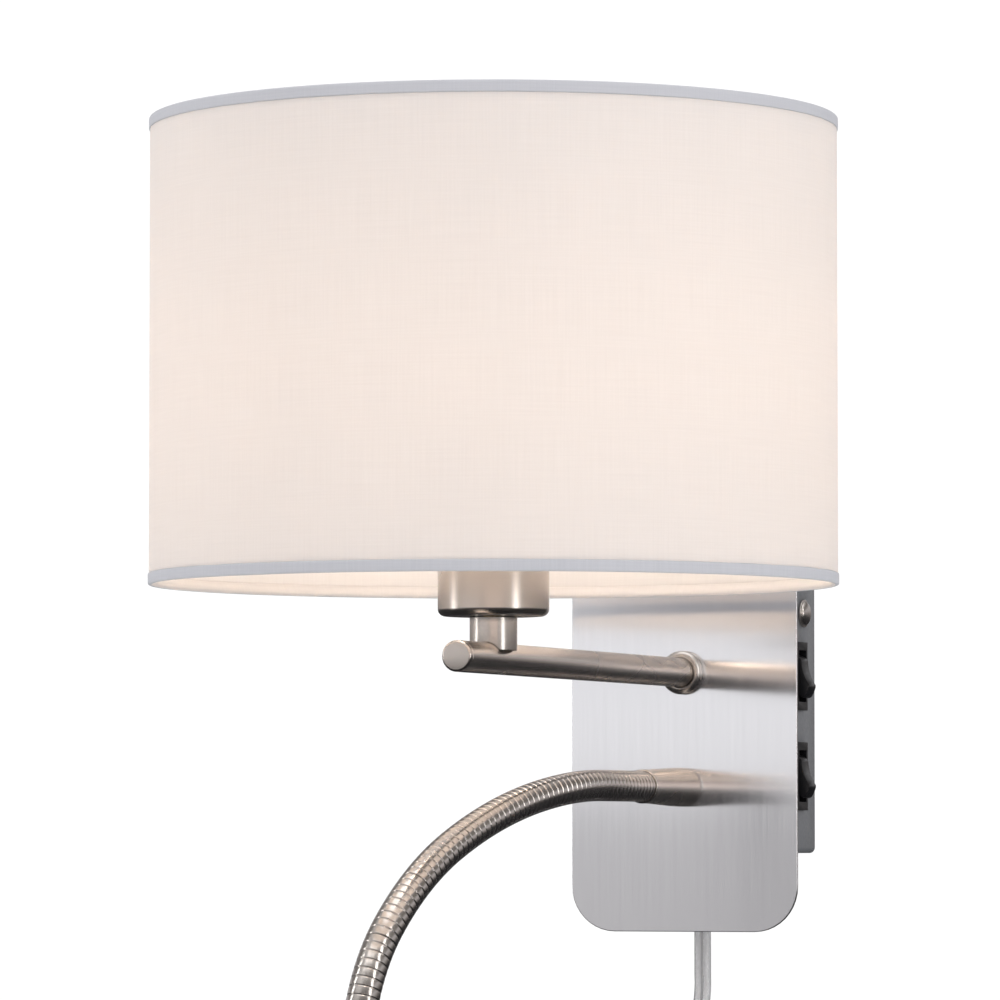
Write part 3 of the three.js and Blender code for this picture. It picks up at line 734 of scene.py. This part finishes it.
def make_cap_nuts():
    for name, direction in (("right", RIGHT), ("left", -RIGHT)):
        node = f"cap_nut_{name}"
        low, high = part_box(node)
        centre = middle(node)
        radius = (high.z - low.z) / 2 / MM
        height = (high.x - low.x) / MM
        inner = low.x if direction.x > 0 else high.x
        rim, bore, bore_depth = 1.0, 2.4, 2.2
        dome = [
            ((radius - 0.9) * math.cos(math.radians(a)), rim + (height - rim) * math.sin(math.radians(a)))
            for a in range(0, 91, 9)
        ]
        dome[-1] = (0, height)
        profile = [(0, bore_depth), (bore, bore_depth), (bore, 0), (radius, 0), (radius, rim), *dome]
        base = (inner, centre.y, centre.z)
        nut = turned(f"domed_nut_{name}", profile, base, direction, fillet=0.3, sides=64)
        dress(nut, node)


# ---- Arm ----
FIT = 0.05  # millimetres between the arm and what sits on it


def make_arm():
    low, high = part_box("arm_bar")
    centre = middle("arm_bar")
    radius = (high.x - low.x) / 2 / MM
    length = (high.y - low.y) / MM
    base = Vector((centre.x, high.y, centre.z))
    bore = 5.3
    profile = [(bore, 0), (radius, 0), (radius, length), (bore, length)]
    dress(turned("arm_tube", profile, base, OUT, 0.25, closed=True), "arm_bar")

    low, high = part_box("arm_collar")
    length = (high.y - low.y) / MM
    outer = (high.x - low.x) / 2 / MM
    bulge = length / 2
    hole = radius + FIT
    profile = [(hole, 0), *arc((outer - bulge, bulge), bulge, -90, 90, 14), (hole, length)]
    base = Vector((centre.x, high.y, centre.z))
    dress(turned("arm_ring", profile, base, OUT, 0, closed=True), "arm_collar")

    low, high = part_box("arm_end_cap")
    tip, round_edge = 3.2, 1.2
    spigot_radius, spigot_length = 5, 11
    base = Vector((centre.x, low.y + tip * MM, centre.z))
    spigot = [(0, -spigot_length), (spigot_radius, -spigot_length), (spigot_radius, 0)]
    edge = arc((radius - round_edge, tip - 1.5), round_edge, 0, 80, 6)
    dress(turned("arm_tip", [*spigot, (radius, 0), *edge, (0, tip)], base, OUT, 0.15), "arm_end_cap")


def make_sleeve():
    """The short sleeve between the arm and the cup. Its foot is cut to sit on the round arm."""
    low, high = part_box("spacer_sleeve")
    centre = middle("spacer_sleeve")
    bar = middle("arm_bar").z
    saddle = (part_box("arm_bar")[1].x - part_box("arm_bar")[0].x) / 2 + FIT * MM
    sides = 480

    def foot(x):
        over_bar = math.sqrt(max(saddle ** 2 - x ** 2, 0))
        return max(low.z, bar + over_bar) if over_bar > 0 else low.z

    def ring(radius, share, lift=0.0):
        points = []
        for i in range(sides):
            angle = 2 * math.pi * i / sides
            x, y = radius * math.cos(angle), radius * math.sin(angle)
            bottom = foot(x)
            points.append((centre.x + x, centre.y + y, bottom + (high.z - bottom) * share + lift))
        return points

    outer = (high.x - low.x) / 2
    inner = TUBE_BORE * MM
    edge = 0.3 * MM
    rings = [
        ring(inner, 0),
        ring(outer - edge, 0),
        ring(outer, 0, edge),
        ring(outer, 0.5),
        ring(outer, 1, -edge),
        ring(outer - edge, 1),
        ring(inner, 1),
        ring(inner, 0.5),
    ]
    dress(loft("cup_sleeve", rings, closed=True), "spacer_sleeve")


# ---- Lampholder, cup and bulb ----
def make_cup():
    low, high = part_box("holder_cup")
    centre = middle("holder_cup")
    radius = (high.x - low.x) / 2 / MM
    height = (high.z - low.z) / MM
    corner = 3
    wall = 1
    outside = [(TUBE_BORE, 0), *arc((radius - corner, corner), corner, -90, 0, 10), (radius, height)]
    inside = arc((radius - corner, corner), corner - wall, 0, -90, 8)
    profile = [*outside, (radius - wall, height), *inside, (TUBE_BORE, wall)]
    base = (centre.x, centre.y, low.z)
    dress(turned("shade_cup", profile, base, UP, 0.3, closed=True, sides=128), "holder_cup")


def make_lampholder():
    low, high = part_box("lampholder_body")
    centre = middle("lampholder_body")
    radius = (high.x - low.x) / 2 / MM
    height = (high.z - low.z) / MM
    threads, pitch, depth = 5, 2.4, 0.7
    first = height - 14
    thread = []
    for turn in range(threads):
        start = first + turn * pitch
        root = radius - depth
        thread += [(radius, start), (root, start + 0.6), (root, start + 1.4), (radius, start + 2)]
    bore, floor = 16.5, 10
    profile = [(0, 0), (radius, 0), *thread, (radius, height), (bore, height), (bore, floor), (0, floor)]
    base = Vector((centre.x, centre.y, low.z))
    dress(turned("holder_body", profile, base, UP, 0.5, sides=96), "lampholder_body")

    for name, node, inner in (("clamp_ring", "shade_clamp_ring", 19.8), ("fitter_plate", "fitter_ring", 20)):
        low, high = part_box(node)
        outer = (high.x - low.x) / 2 / MM
        height = (high.z - low.z) / MM
        profile = [(inner, 0), (outer, 0), (outer, height), (inner, height)]
        dress(turned(name, profile, (centre.x, centre.y, low.z), UP, 0.4, closed=True), node)


def make_bulb():
    low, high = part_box("bulb_glass")
    centre = middle("bulb_glass")
    radius = (high.x - low.x) / 2 / MM
    height = (high.z - low.z) / MM
    neck = [Vector((r, h, 0)) for r, h in ((12.8, 0), (14, 7), (16.2, 16), (21.5, 29), (26.6, 40))]
    crown = [Vector((*p, 0)) for p in arc((0, height - radius), radius, -22, 90, 14)]
    crown[-1].x = 0
    outline = [(p.x, p.y) for p in smooth_line(neck, 2)] + [(p.x, p.y) for p in crown]
    profile = [(0, 0), *outline]
    dress(turned("bulb", profile, (centre.x, centre.y, low.z), UP, 0, sides=80), "bulb_glass")


# ---- Shade ----
SHADE_SIDES = 288
CLOTH_RADIUS = 0.14  # turns an angle round the drum into metres of cloth
SEAM_WIDTH = 0.011
SEAM_THICK = 0.0004
HEM_ROLL = 0.0018


def drum(name, profile, seam=0.0):
    """A closed ring round the shade's axis, with a map of its cloth.

    The profile is (radius, height, 1 where the seam's lap shows or 0) in metres. The seam faces the wall.
    """
    centre = middle("shade_fabric")
    rings = []
    for radius, height, takes_seam in profile:
        ring = []
        for i in range(SHADE_SIDES):
            angle = 2 * math.pi * (i + 0.5) / SHADE_SIDES
            from_seam = abs((angle - math.pi / 2 + math.pi) % (2 * math.pi) - math.pi) * radius
            lift = seam * takes_seam * (from_seam < SEAM_WIDTH / 2)
            reach = radius + lift
            ring.append((centre.x + reach * math.cos(angle), centre.y + reach * math.sin(angle), height))
        rings.append(ring)
    made = loft(name, rings, closed=True)
    layer = made.data.uv_layers.new(name="UVMap")
    for polygon in made.data.polygons:
        facing = math.atan2(polygon.center.y - centre.y, polygon.center.x - centre.x)
        for index in polygon.loop_indices:
            point = made.data.vertices[made.data.loops[index].vertex_index].co
            angle = math.atan2(point.y - centre.y, point.x - centre.x)
            angle += 2 * math.pi * round((facing - angle) / (2 * math.pi))
            layer.data[index].uv = (angle * CLOTH_RADIUS, point.z)
    return made


def make_shade():
    low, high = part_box("shade_fabric")
    radius = (high.x - low.x) / 2
    thick = 0.9 * MM
    rows = 24
    heights = [low.z + (high.z - low.z) * i / rows for i in range(rows + 1)]
    outside = [(radius, h, 1) for h in heights]
    inside = [(radius - thick, h, 0) for h in reversed(heights)]
    fabric = dress(drum("drum_shade", outside + inside, seam=SEAM_THICK), "shade_fabric")

    for name, edge, up in (("bottom", low.z, -1), ("top", high.z, 1)):
        wall = radius - thick
        roll = wall - HEM_ROLL
        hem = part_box(f"shade_trim_{name}")
        band = hem[1].z - hem[0].z
        outside = [
            (radius - 0.05 * MM, band + 0.1 * MM),
            (radius + 0.35 * MM, band - 0.2 * MM),
            (radius + 0.45 * MM, band - 0.8 * MM),
            (radius + 0.45 * MM, 0.9 * MM),
            (radius + 0.3 * MM, 0.2 * MM),
            (radius - 0.2 * MM, -0.1 * MM),
        ]
        inside = [
            (wall - 0.2 * MM, 0.0),
            (roll + 0.6 * MM, 0.3 * MM),
            (roll, 1.0 * MM),
            (roll + 0.1 * MM, 2.2 * MM),
            (wall - 0.7 * MM, 3.6 * MM),
            (wall + 0.05 * MM, 4.8 * MM),
        ]
        tape = smooth_line([(*p, 0) for p in outside], 0.3 * MM)
        rows_outside = len(tape)
        tape += smooth_line([(*p, 0) for p in inside], 0.4 * MM)
        tape += [Vector((wall + 0.1 * MM, 0.3 * MM)), Vector((radius - 0.1 * MM, 0.3 * MM))]
        tape = [(p.x, edge - up * p.y) for p in tape]
        trim = drum(f"edge_tape_{name}", [(r, h, 0) for r, h in tape])
        dress(trim, f"shade_trim_{name}", replaced=[f"shade_trim_{name}", f"shade_wire_{name}"])
        trim.data.materials.append(LOOKS["shade_fabric"])
        for polygon in trim.data.polygons:
            polygon.material_index = int(polygon.index // SHADE_SIDES >= rows_outside)


def make_spider():
    """Three wires from the fitter ring out and down to the bottom ring."""
    centre = middle("fitter_ring")
    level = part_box("fitter_ring")[1].z
    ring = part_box("shade_wire_bottom")
    ring_height = (ring[0].z + ring[1].z) / 2
    ring_reach = (ring[1].x - ring[0].x) / 2 - 2.6 * MM
    for number in (1, 2, 3):
        arm = middle(f"spider_arm_{number}")
        way = Vector((arm.x - centre.x, arm.y - centre.y, 0)).normalized()
        hub = Vector((centre.x, centre.y, 0))
        stops = [
            hub + way * 0.0245 + UP * (level + 0.0006),
            hub + way * 0.029 + UP * (level + 0.0002),
            hub + way * 0.034 + UP * (level - 0.0014),
            hub + way * (ring_reach - 0.012) + UP * (ring_height + 0.0035),
            hub + way * (ring_reach - 0.005) + UP * (ring_height + 0.001),
            hub + way * (ring_reach - 0.0002) + UP * (ring_height + 0.0002),
        ]
        wire = rod_along(f"spider_wire_{number}", smooth_line(stops, 0.0012), 1.3)
        dress(wire, f"spider_arm_{number}")


# ---- Hose ----
# The hose leaves the plate square, turns sideways over one stretch and bends down in three arcs.
FERRULE_LENGTH = 0.056
HOSE_STRAIGHT = 0.100
HOSE_ARCS = [(0.264, 25.6), (0.145, 21.8), (0.082, 42.6)]
HOSE_SIDEWAYS = (0.056, 0.150, 14)
HOSE_SECTIONS = 8
HOSE_RADIUS = 0.0067
HOSE_END = HOSE_STRAIGHT + sum(radius * math.radians(turn) for radius, turn in HOSE_ARCS)
HOSE_TUCK = 0.003  # how far the hose reaches into its sleeve
HOSE_SIDES = 48
RIB_PITCH = 0.00365
GROOVE_DEPTH = 0.00035
RIB_STEPS = 20
# One rib from groove to groove: at which of its steps there is a ring, and the share of the groove's depth.
RIB = {0: 1, 1: 0.75, 2: 0.2, 3: 0.04, 10: 0, 17: 0.04, 18: 0.2, 19: 0.75}


def hose_direction(distance):
    down = 0.0
    start = HOSE_STRAIGHT
    for radius, turn in HOSE_ARCS:
        length = radius * math.radians(turn)
        down += turn * min(max((distance - start) / length, 0), 1)
        start += length
    begin, finish, sideways = HOSE_SIDEWAYS
    side = math.radians(sideways * min(max((distance - begin) / (finish - begin), 0), 1))
    down = math.radians(down)
    return Vector((-math.sin(side) * math.cos(down), -math.cos(side) * math.cos(down), -math.sin(down)))


def hose_points(step):
    """Points from the plate to the reading head, a step apart."""
    root = middle("hose_ferrule")
    point = Vector((root.x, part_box("cover_plate")[0].y, root.z))
    count = round(HOSE_END / step)
    step = HOSE_END / count
    points = [point]
    for i in range(count):
        points.append(points[-1] + hose_direction((i + 0.5) * step) * step)
    return points, step


def hose_ring(point, frame, radius):
    side, other = frame
    angles = [2 * math.pi * k / HOSE_SIDES for k in range(HOSE_SIDES)]
    return [point + (side * math.cos(angle) + other * math.sin(angle)) * radius for angle in angles]


def make_hose():
    """Eight lengths of ribbed hose, each reaching from the middle of the length before it to the middle of
    its own. They keep their rest shape and are not attached to any body.
    """
    points, step = hose_points(RIB_PITCH / RIB_STEPS)
    frames = carried_frames(points, RIGHT)
    spacing = (HOSE_END - FERRULE_LENGTH) / HOSE_SECTIONS
    middles = [FERRULE_LENGTH + (i + 0.5) * spacing for i in range(HOSE_SECTIONS)]

    def at(distance):
        return round(distance / step / RIB_STEPS) * RIB_STEPS

    short_of_head = 3
    inner_breaks = [at(place) for place in middles[:-1]]
    breaks = [at(FERRULE_LENGTH - HOSE_TUCK), *inner_breaks, len(points) - short_of_head]
    for number in range(HOSE_SECTIONS):
        first, last = breaks[number], breaks[number + 1]
        steps = [i for i in range(first, last + 1) if i % RIB_STEPS in RIB or i == last]
        radii = [HOSE_RADIUS - GROOVE_DEPTH * RIB.get(i % RIB_STEPS, 0) for i in steps]
        rings = [hose_ring(points[i], frames[i], radius) for i, radius in zip(steps, radii)]
        section = loft(f"hose_coil_{number + 1}", rings)
        section.data.materials.append(HOSE_LOOK)
        node = f"hose_{number + 1}"
        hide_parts(node)
        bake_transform(section)


def make_ferrule():
    low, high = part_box("hose_ferrule")
    centre = middle("hose_ferrule")
    length = (high.y - low.y) / MM
    root, tip = 8.5, 7.3
    outline = []
    for i in range(25):
        share = i / 24
        swell = (root - tip) * max(math.cos(share * math.pi / 2), 0) ** 1.5
        outline.append((tip + swell, share * (length - 1.2)))
    lip = arc((tip - 0.6, length - 0.8), 0.8, 20, 90, 6)
    mouth, socket = 6.9, length - 6
    profile = [(TUBE_BORE, 0), *outline, *lip, (mouth, length), (mouth, socket), (TUBE_BORE, socket)]
    base = Vector((centre.x, high.y, centre.z))
    dress(turned("hose_sleeve", profile, base, OUT, 0, closed=True), "hose_ferrule")


# ---- Reading head ----
def make_head():
    low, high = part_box("head_collar")
    centre = middle("head_collar")
    top = Vector((centre.x, centre.y, high.z))
    radius = (high.x - low.x) / 2 / MM
    length = (high.z - low.z) / MM
    profile = [(0, 0), (radius, 0), (radius, length), (0, length)]
    dress(turned("head_joint", profile, top, DOWN, 1.2), "head_collar", "hose_8")

    low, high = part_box("head_housing")
    top.z = high.z
    radius = (high.x - low.x) / 2 / MM
    length = (high.z - low.z) / MM
    wall = 1.4
    grooves, first, pitch, depth = 6, 12, 3.4, 1.1
    fins = []
    for i in range(grooves):
        start = first + i * pitch
        root = radius - depth
        fins += [(radius, start), (root, start + 0.3), (root, start + 1.5), (radius, start + 1.8)]
    round_back, floor = 5, 36
    shoulder = arc((radius - round_back, round_back), round_back, -90, 0, 10)
    inside = [(radius - wall, length), (radius - wall, floor), (0, floor)]
    profile = [(0, 0), *shoulder, *fins, (radius, length), *inside]
    dress(turned("head_body", profile, top, DOWN, 0.3), "head_housing", "hose_8")

    low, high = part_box("head_bezel")
    top.z = high.z
    radius = (high.x - low.x) / 2 / MM
    length = (high.z - low.z) / MM
    profile = [(11, 0), (radius - 1, 0), (radius, 2), (radius, length), (12.6, length), (11, length - 2)]
    dress(turned("head_ring", profile, top, DOWN, 0.5, closed=True), "head_bezel", "hose_8")

    low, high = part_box("head_reflector")
    top.z = low.z
    length = (high.z - low.z) / MM
    outer = (high.x - low.x) / 2 / MM
    cup = [(3 + (10.6 - 3) * (i / 12) ** 0.6, length * (1 - i / 12)) for i in range(13)]
    profile = [*cup, (outer, 0), (outer, length)]
    dress(turned("head_cup", profile, top, UP, 0, closed=True), "head_reflector", "hose_8")

    low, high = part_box("head_lens")
    top.z = high.z
    radius = (high.x - low.x) / 2 / MM
    edge, rise = 1.6, 1.2
    angles = [math.radians(a) for a in range(0, 91, 9)]
    dome = [(radius * math.cos(a), edge + rise * math.sin(a)) for a in angles]
    dome[-1] = (0, edge + rise)
    dress(turned("head_glass", [(0, 0), (radius, 0), *dome], top, DOWN, 0), "head_lens", "hose_8")

    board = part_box("head_led_board")
    chip_top = Vector((centre.x, centre.y, board[0].z))
    chip = slab("led_chip", (3.6, 3.6), 0.6, [(0, 0), (0, 0.7)], chip_top, DOWN, RIGHT, fillet=0)
    dress(chip, "head_led_board", "hose_8", LED_LOOK, replaced=[])


# ---- What is on the cord ----
def make_strain_relief():
    low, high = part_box("cord_strain_relief")
    base = (0, CORD_EXIT.y, high.z)
    length = (high.z - low.z) / MM
    flange = (high.x - low.x) / 2 / MM
    shank = [(0, 0), (flange, 0), (flange, 2), (4.2, 2), (4.2, 3.8), (flange, 3.8), (flange, 5.6)]
    cone = []
    turns = 7
    first, last = 7.2, length - 2
    for i in range(turns):
        start = first + (last - first) * i / turns
        pitch = (last - first) / turns
        radius = 5.2 - 0.9 * i / turns
        cone += [(radius, start), (radius, start + pitch * 0.6), (radius - 0.9, start + pitch * 0.7)]
        cone.append((radius - 0.9, start + pitch * 0.95))
    profile = [*shank, (5.2, 6.4), *cone, (4.3, last + 0.4), (4.3, length), (0, length)]
    return dress(turned("cord_grommet", profile, base, DOWN, 0.25, sides=64), "cord_strain_relief")


def make_tie():
    low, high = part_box("hank_tie")
    size = (high - low) / MM
    centre = middle("hank_tie")
    thick = 1.6
    profile = [(0, 0), (0, size.z), (thick, size.z), (thick, 0)]
    base = (centre.x, centre.y, low.z)
    band = slab("tie_band", (size.x, size.y), 3, profile, base, UP, RIGHT, fillet=0.45, closed=True)
    dress(band, "hank_tie", look=TIE_LOOK)
    front = Vector((centre.x + 3 * MM, low.y + 0.9 * MM, centre.z))
    tab = slab("tie_tab", (17, size.z - 0.8), 2.4, [(0, 0), (0, 0.9)], front, OUT, RIGHT, fillet=0)
    dress(tab, "hank_tie", look=TIE_LOOK, replaced=[])
    return band, tab


def make_plug():
    low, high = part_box("plug_body")
    centre = middle("plug_body")
    size = (high - low) / MM
    length = size.z
    neck_length = 30
    rings = []
    neck = 14
    for i in range(neck + 1):
        share = i / neck
        groove = 0.7 * (0.5 - 0.5 * math.cos(share * 7 * 2 * math.pi)) * (0.1 < share < 0.9)
        width = 9.6 + 3.4 * share
        rings.append((width - 2 * groove, width - 2 * groove, share * neck_length))
    body = [(16, 13, 32), (20, 15, 35), (23.4, 15.8, 39), (24, 16, 43), (23.2, 15.4, 48), (24, 16, 53)]
    body += [(24, 16, length - 1), (23, 15, length)]
    rings += body
    points = []
    for deep, wide, along in rings:
        corner = min(wide, deep) * 0.42
        outline = rounded_rectangle(wide, deep, corner, 8)
        points.append([(centre.x + a * MM, centre.y + b * MM, high.z - along * MM) for a, b in outline])
    plug = loft("plug", points)
    subdivision = plug.modifiers.new("soft", "SUBSURF")
    subdivision.levels = 1
    subdivision.render_levels = 1
    plug.modifiers.move(plug.modifiers.find("soft"), 0)
    return dress(plug, "plug_body")


def finish_cord():
    grommet = make_strain_relief()
    ties = make_tie()
    plug = make_plug()
    cord_flex.data.materials.append(CORD_LOOK)
    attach(cord_flex, "base")
    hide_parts("cord_lead", "cord_hank")
    for wire in cord_wires:
        wire.data.materials.append(WIRE_LOOK)
        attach(wire, "base")


make_plate()
make_cap_nuts()
make_arm()
make_sleeve()
make_cup()
make_lampholder()
make_bulb()
make_shade()
make_spider()
make_ferrule()
make_hose()
make_head()
finish_cord()


# ---- Light and floor ----
FLOOR_DROP = 0.16
FLOOR_HALF = 2.2
EVEN_LIGHT = (0.78, 0.79, 0.82)
ROOM_UP = (0, -0.08, 1)  # the room is a little brighter in front of the lamp than behind it
# What the metal mirrors: (height from straight down to straight up, red, green, blue).
ROOM = [
    (0.0, 0.02, 0.02, 0.022),
    (0.42, 0.03, 0.03, 0.032),
    (0.48, 0.26, 0.24, 0.235),
    (0.52, 0.54, 0.52, 0.52),
    (0.58, 0.63, 0.63, 0.66),
    (0.63, 0.22, 0.20, 0.19),
    (0.76, 0.20, 0.19, 0.185),
    (0.88, 0.60, 0.59, 0.59),
    (1.0, 0.85, 0.85, 0.87),
]


def make_world():
    """White behind the lamp, an even light on what is matt, and a banded room for the metal to mirror."""
    world = bpy.data.worlds.new("studio")
    bpy.context.scene.world = world
    world.use_nodes = True
    tree = world.node_tree
    tree.nodes.clear()

    def node(kind, **inputs):
        made = tree.nodes.new(kind)
        for key, value in inputs.items():
            socket = made.inputs[key.replace("_", " ")]
            if isinstance(value, bpy.types.NodeSocket):
                tree.links.new(value, socket)
            else:
                socket.default_value = value
        return made

    upward = node("ShaderNodeVectorMath")
    upward.operation = "DOT_PRODUCT"
    upward.inputs[1].default_value = ROOM_UP
    tree.links.new(node("ShaderNodeTexCoord").outputs["Generated"], upward.inputs[0])
    height = node("ShaderNodeMapRange", Value=upward.outputs["Value"], From_Min=-1.0).outputs[0]
    ramp = node("ShaderNodeValToRGB", Fac=height)
    elements = ramp.color_ramp.elements
    while len(elements) < len(ROOM):
        elements.new(0.5)
    for element, (position, *colour) in zip(elements, ROOM):
        element.position = position
        element.color = (*colour, 1)
    room = node("ShaderNodeBackground", Color=ramp.outputs[0]).outputs[0]
    even = node("ShaderNodeBackground", Color=(*EVEN_LIGHT, 1)).outputs[0]
    white = node("ShaderNodeBackground", Color=(1, 1, 1, 1), Strength=1.05).outputs[0]
    path = node("ShaderNodeLightPath")
    lit = node("ShaderNodeMixShader", Fac=path.outputs["Is Glossy Ray"])
    tree.links.new(even, lit.inputs[1])
    tree.links.new(room, lit.inputs[2])
    seen = node("ShaderNodeMixShader", Fac=path.outputs["Is Camera Ray"])
    tree.links.new(lit.outputs[0], seen.inputs[1])
    tree.links.new(white, seen.inputs[2])
    tree.links.new(seen.outputs[0], node("ShaderNodeOutputWorld").inputs[0])


def softbox(name, azimuth, elevation, distance, size, radiance, colour=(1, 1, 1), on_matt=True):
    """A rectangular lamp at a bearing from the object, turned to face it. The camera doesn't see it."""
    data = bpy.data.lights.new(name, "AREA")
    data.shape = "RECTANGLE"
    data.size, data.size_y = size
    data.energy = radiance * math.pi * size[0] * size[1]
    data.color = colour
    lamp = bpy.data.objects.new(name, data)
    a, e = math.radians(azimuth), math.radians(elevation)
    away = Vector((math.sin(a) * math.cos(e), -math.cos(a) * math.cos(e), math.sin(e)))
    lamp.location = LIGHTS_AIM + away * distance
    lamp.rotation_euler = away.to_track_quat("Z", "Y").to_euler()
    lamp.visible_camera = False
    lamp.visible_diffuse = on_matt
    bpy.context.collection.objects.link(lamp)


LIGHTS_AIM = Vector((0, -0.2, 0))


def floor_look():
    """Pale from above, and clear from below so that the lamp can be looked at from there."""
    look = Look("floor", (0.86, 0.86, 0.85), 0.8)
    below = look.node("ShaderNodeNewGeometry").outputs["Backfacing"]
    clear = look.node("ShaderNodeBsdfTransparent").outputs[0]
    mixed = look.node("ShaderNodeMixShader", {"Fac": below, 1: look.shader.outputs[0], 2: clear})
    look.tree.links.new(mixed.outputs[0], look.tree.nodes["Material Output"].inputs["Surface"])
    return look.material


def make_stage():
    make_world()
    softbox("front_left_box", -26, 18, 1.6, (1.2, 1.1), 0.37, on_matt=False)
    softbox("warm_fill", 21, 5, 3.2, (2.0, 0.7), 0.6, (1.0, 0.76, 0.62))
    softbox("left_strip", -67, 14, 1.8, (0.22, 1.6), 5.0)
    softbox("right_strip", 66, 14, 1.8, (0.22, 1.6), 6.5)
    softbox("top_box", 0, 68, 1.8, (1.6, 1.6), 1.2)
    ground = cad_box[0][2] - FLOOR_DROP
    corners = [(-FLOOR_HALF, -FLOOR_HALF), (FLOOR_HALF, -FLOOR_HALF), (FLOOR_HALF, FLOOR_HALF)]
    corners.append((-FLOOR_HALF, FLOOR_HALF))
    data = bpy.data.meshes.new("floor")
    data.from_pydata([(x, y, ground) for x, y in corners], [], [(0, 1, 2, 3)])
    floor = bpy.data.objects.new("floor", data)
    data.materials.append(floor_look())
    bpy.context.collection.objects.link(floor)
    floor.visible_glossy = False


make_stage()
bpy.context.scene.view_settings.view_transform = "Standard"
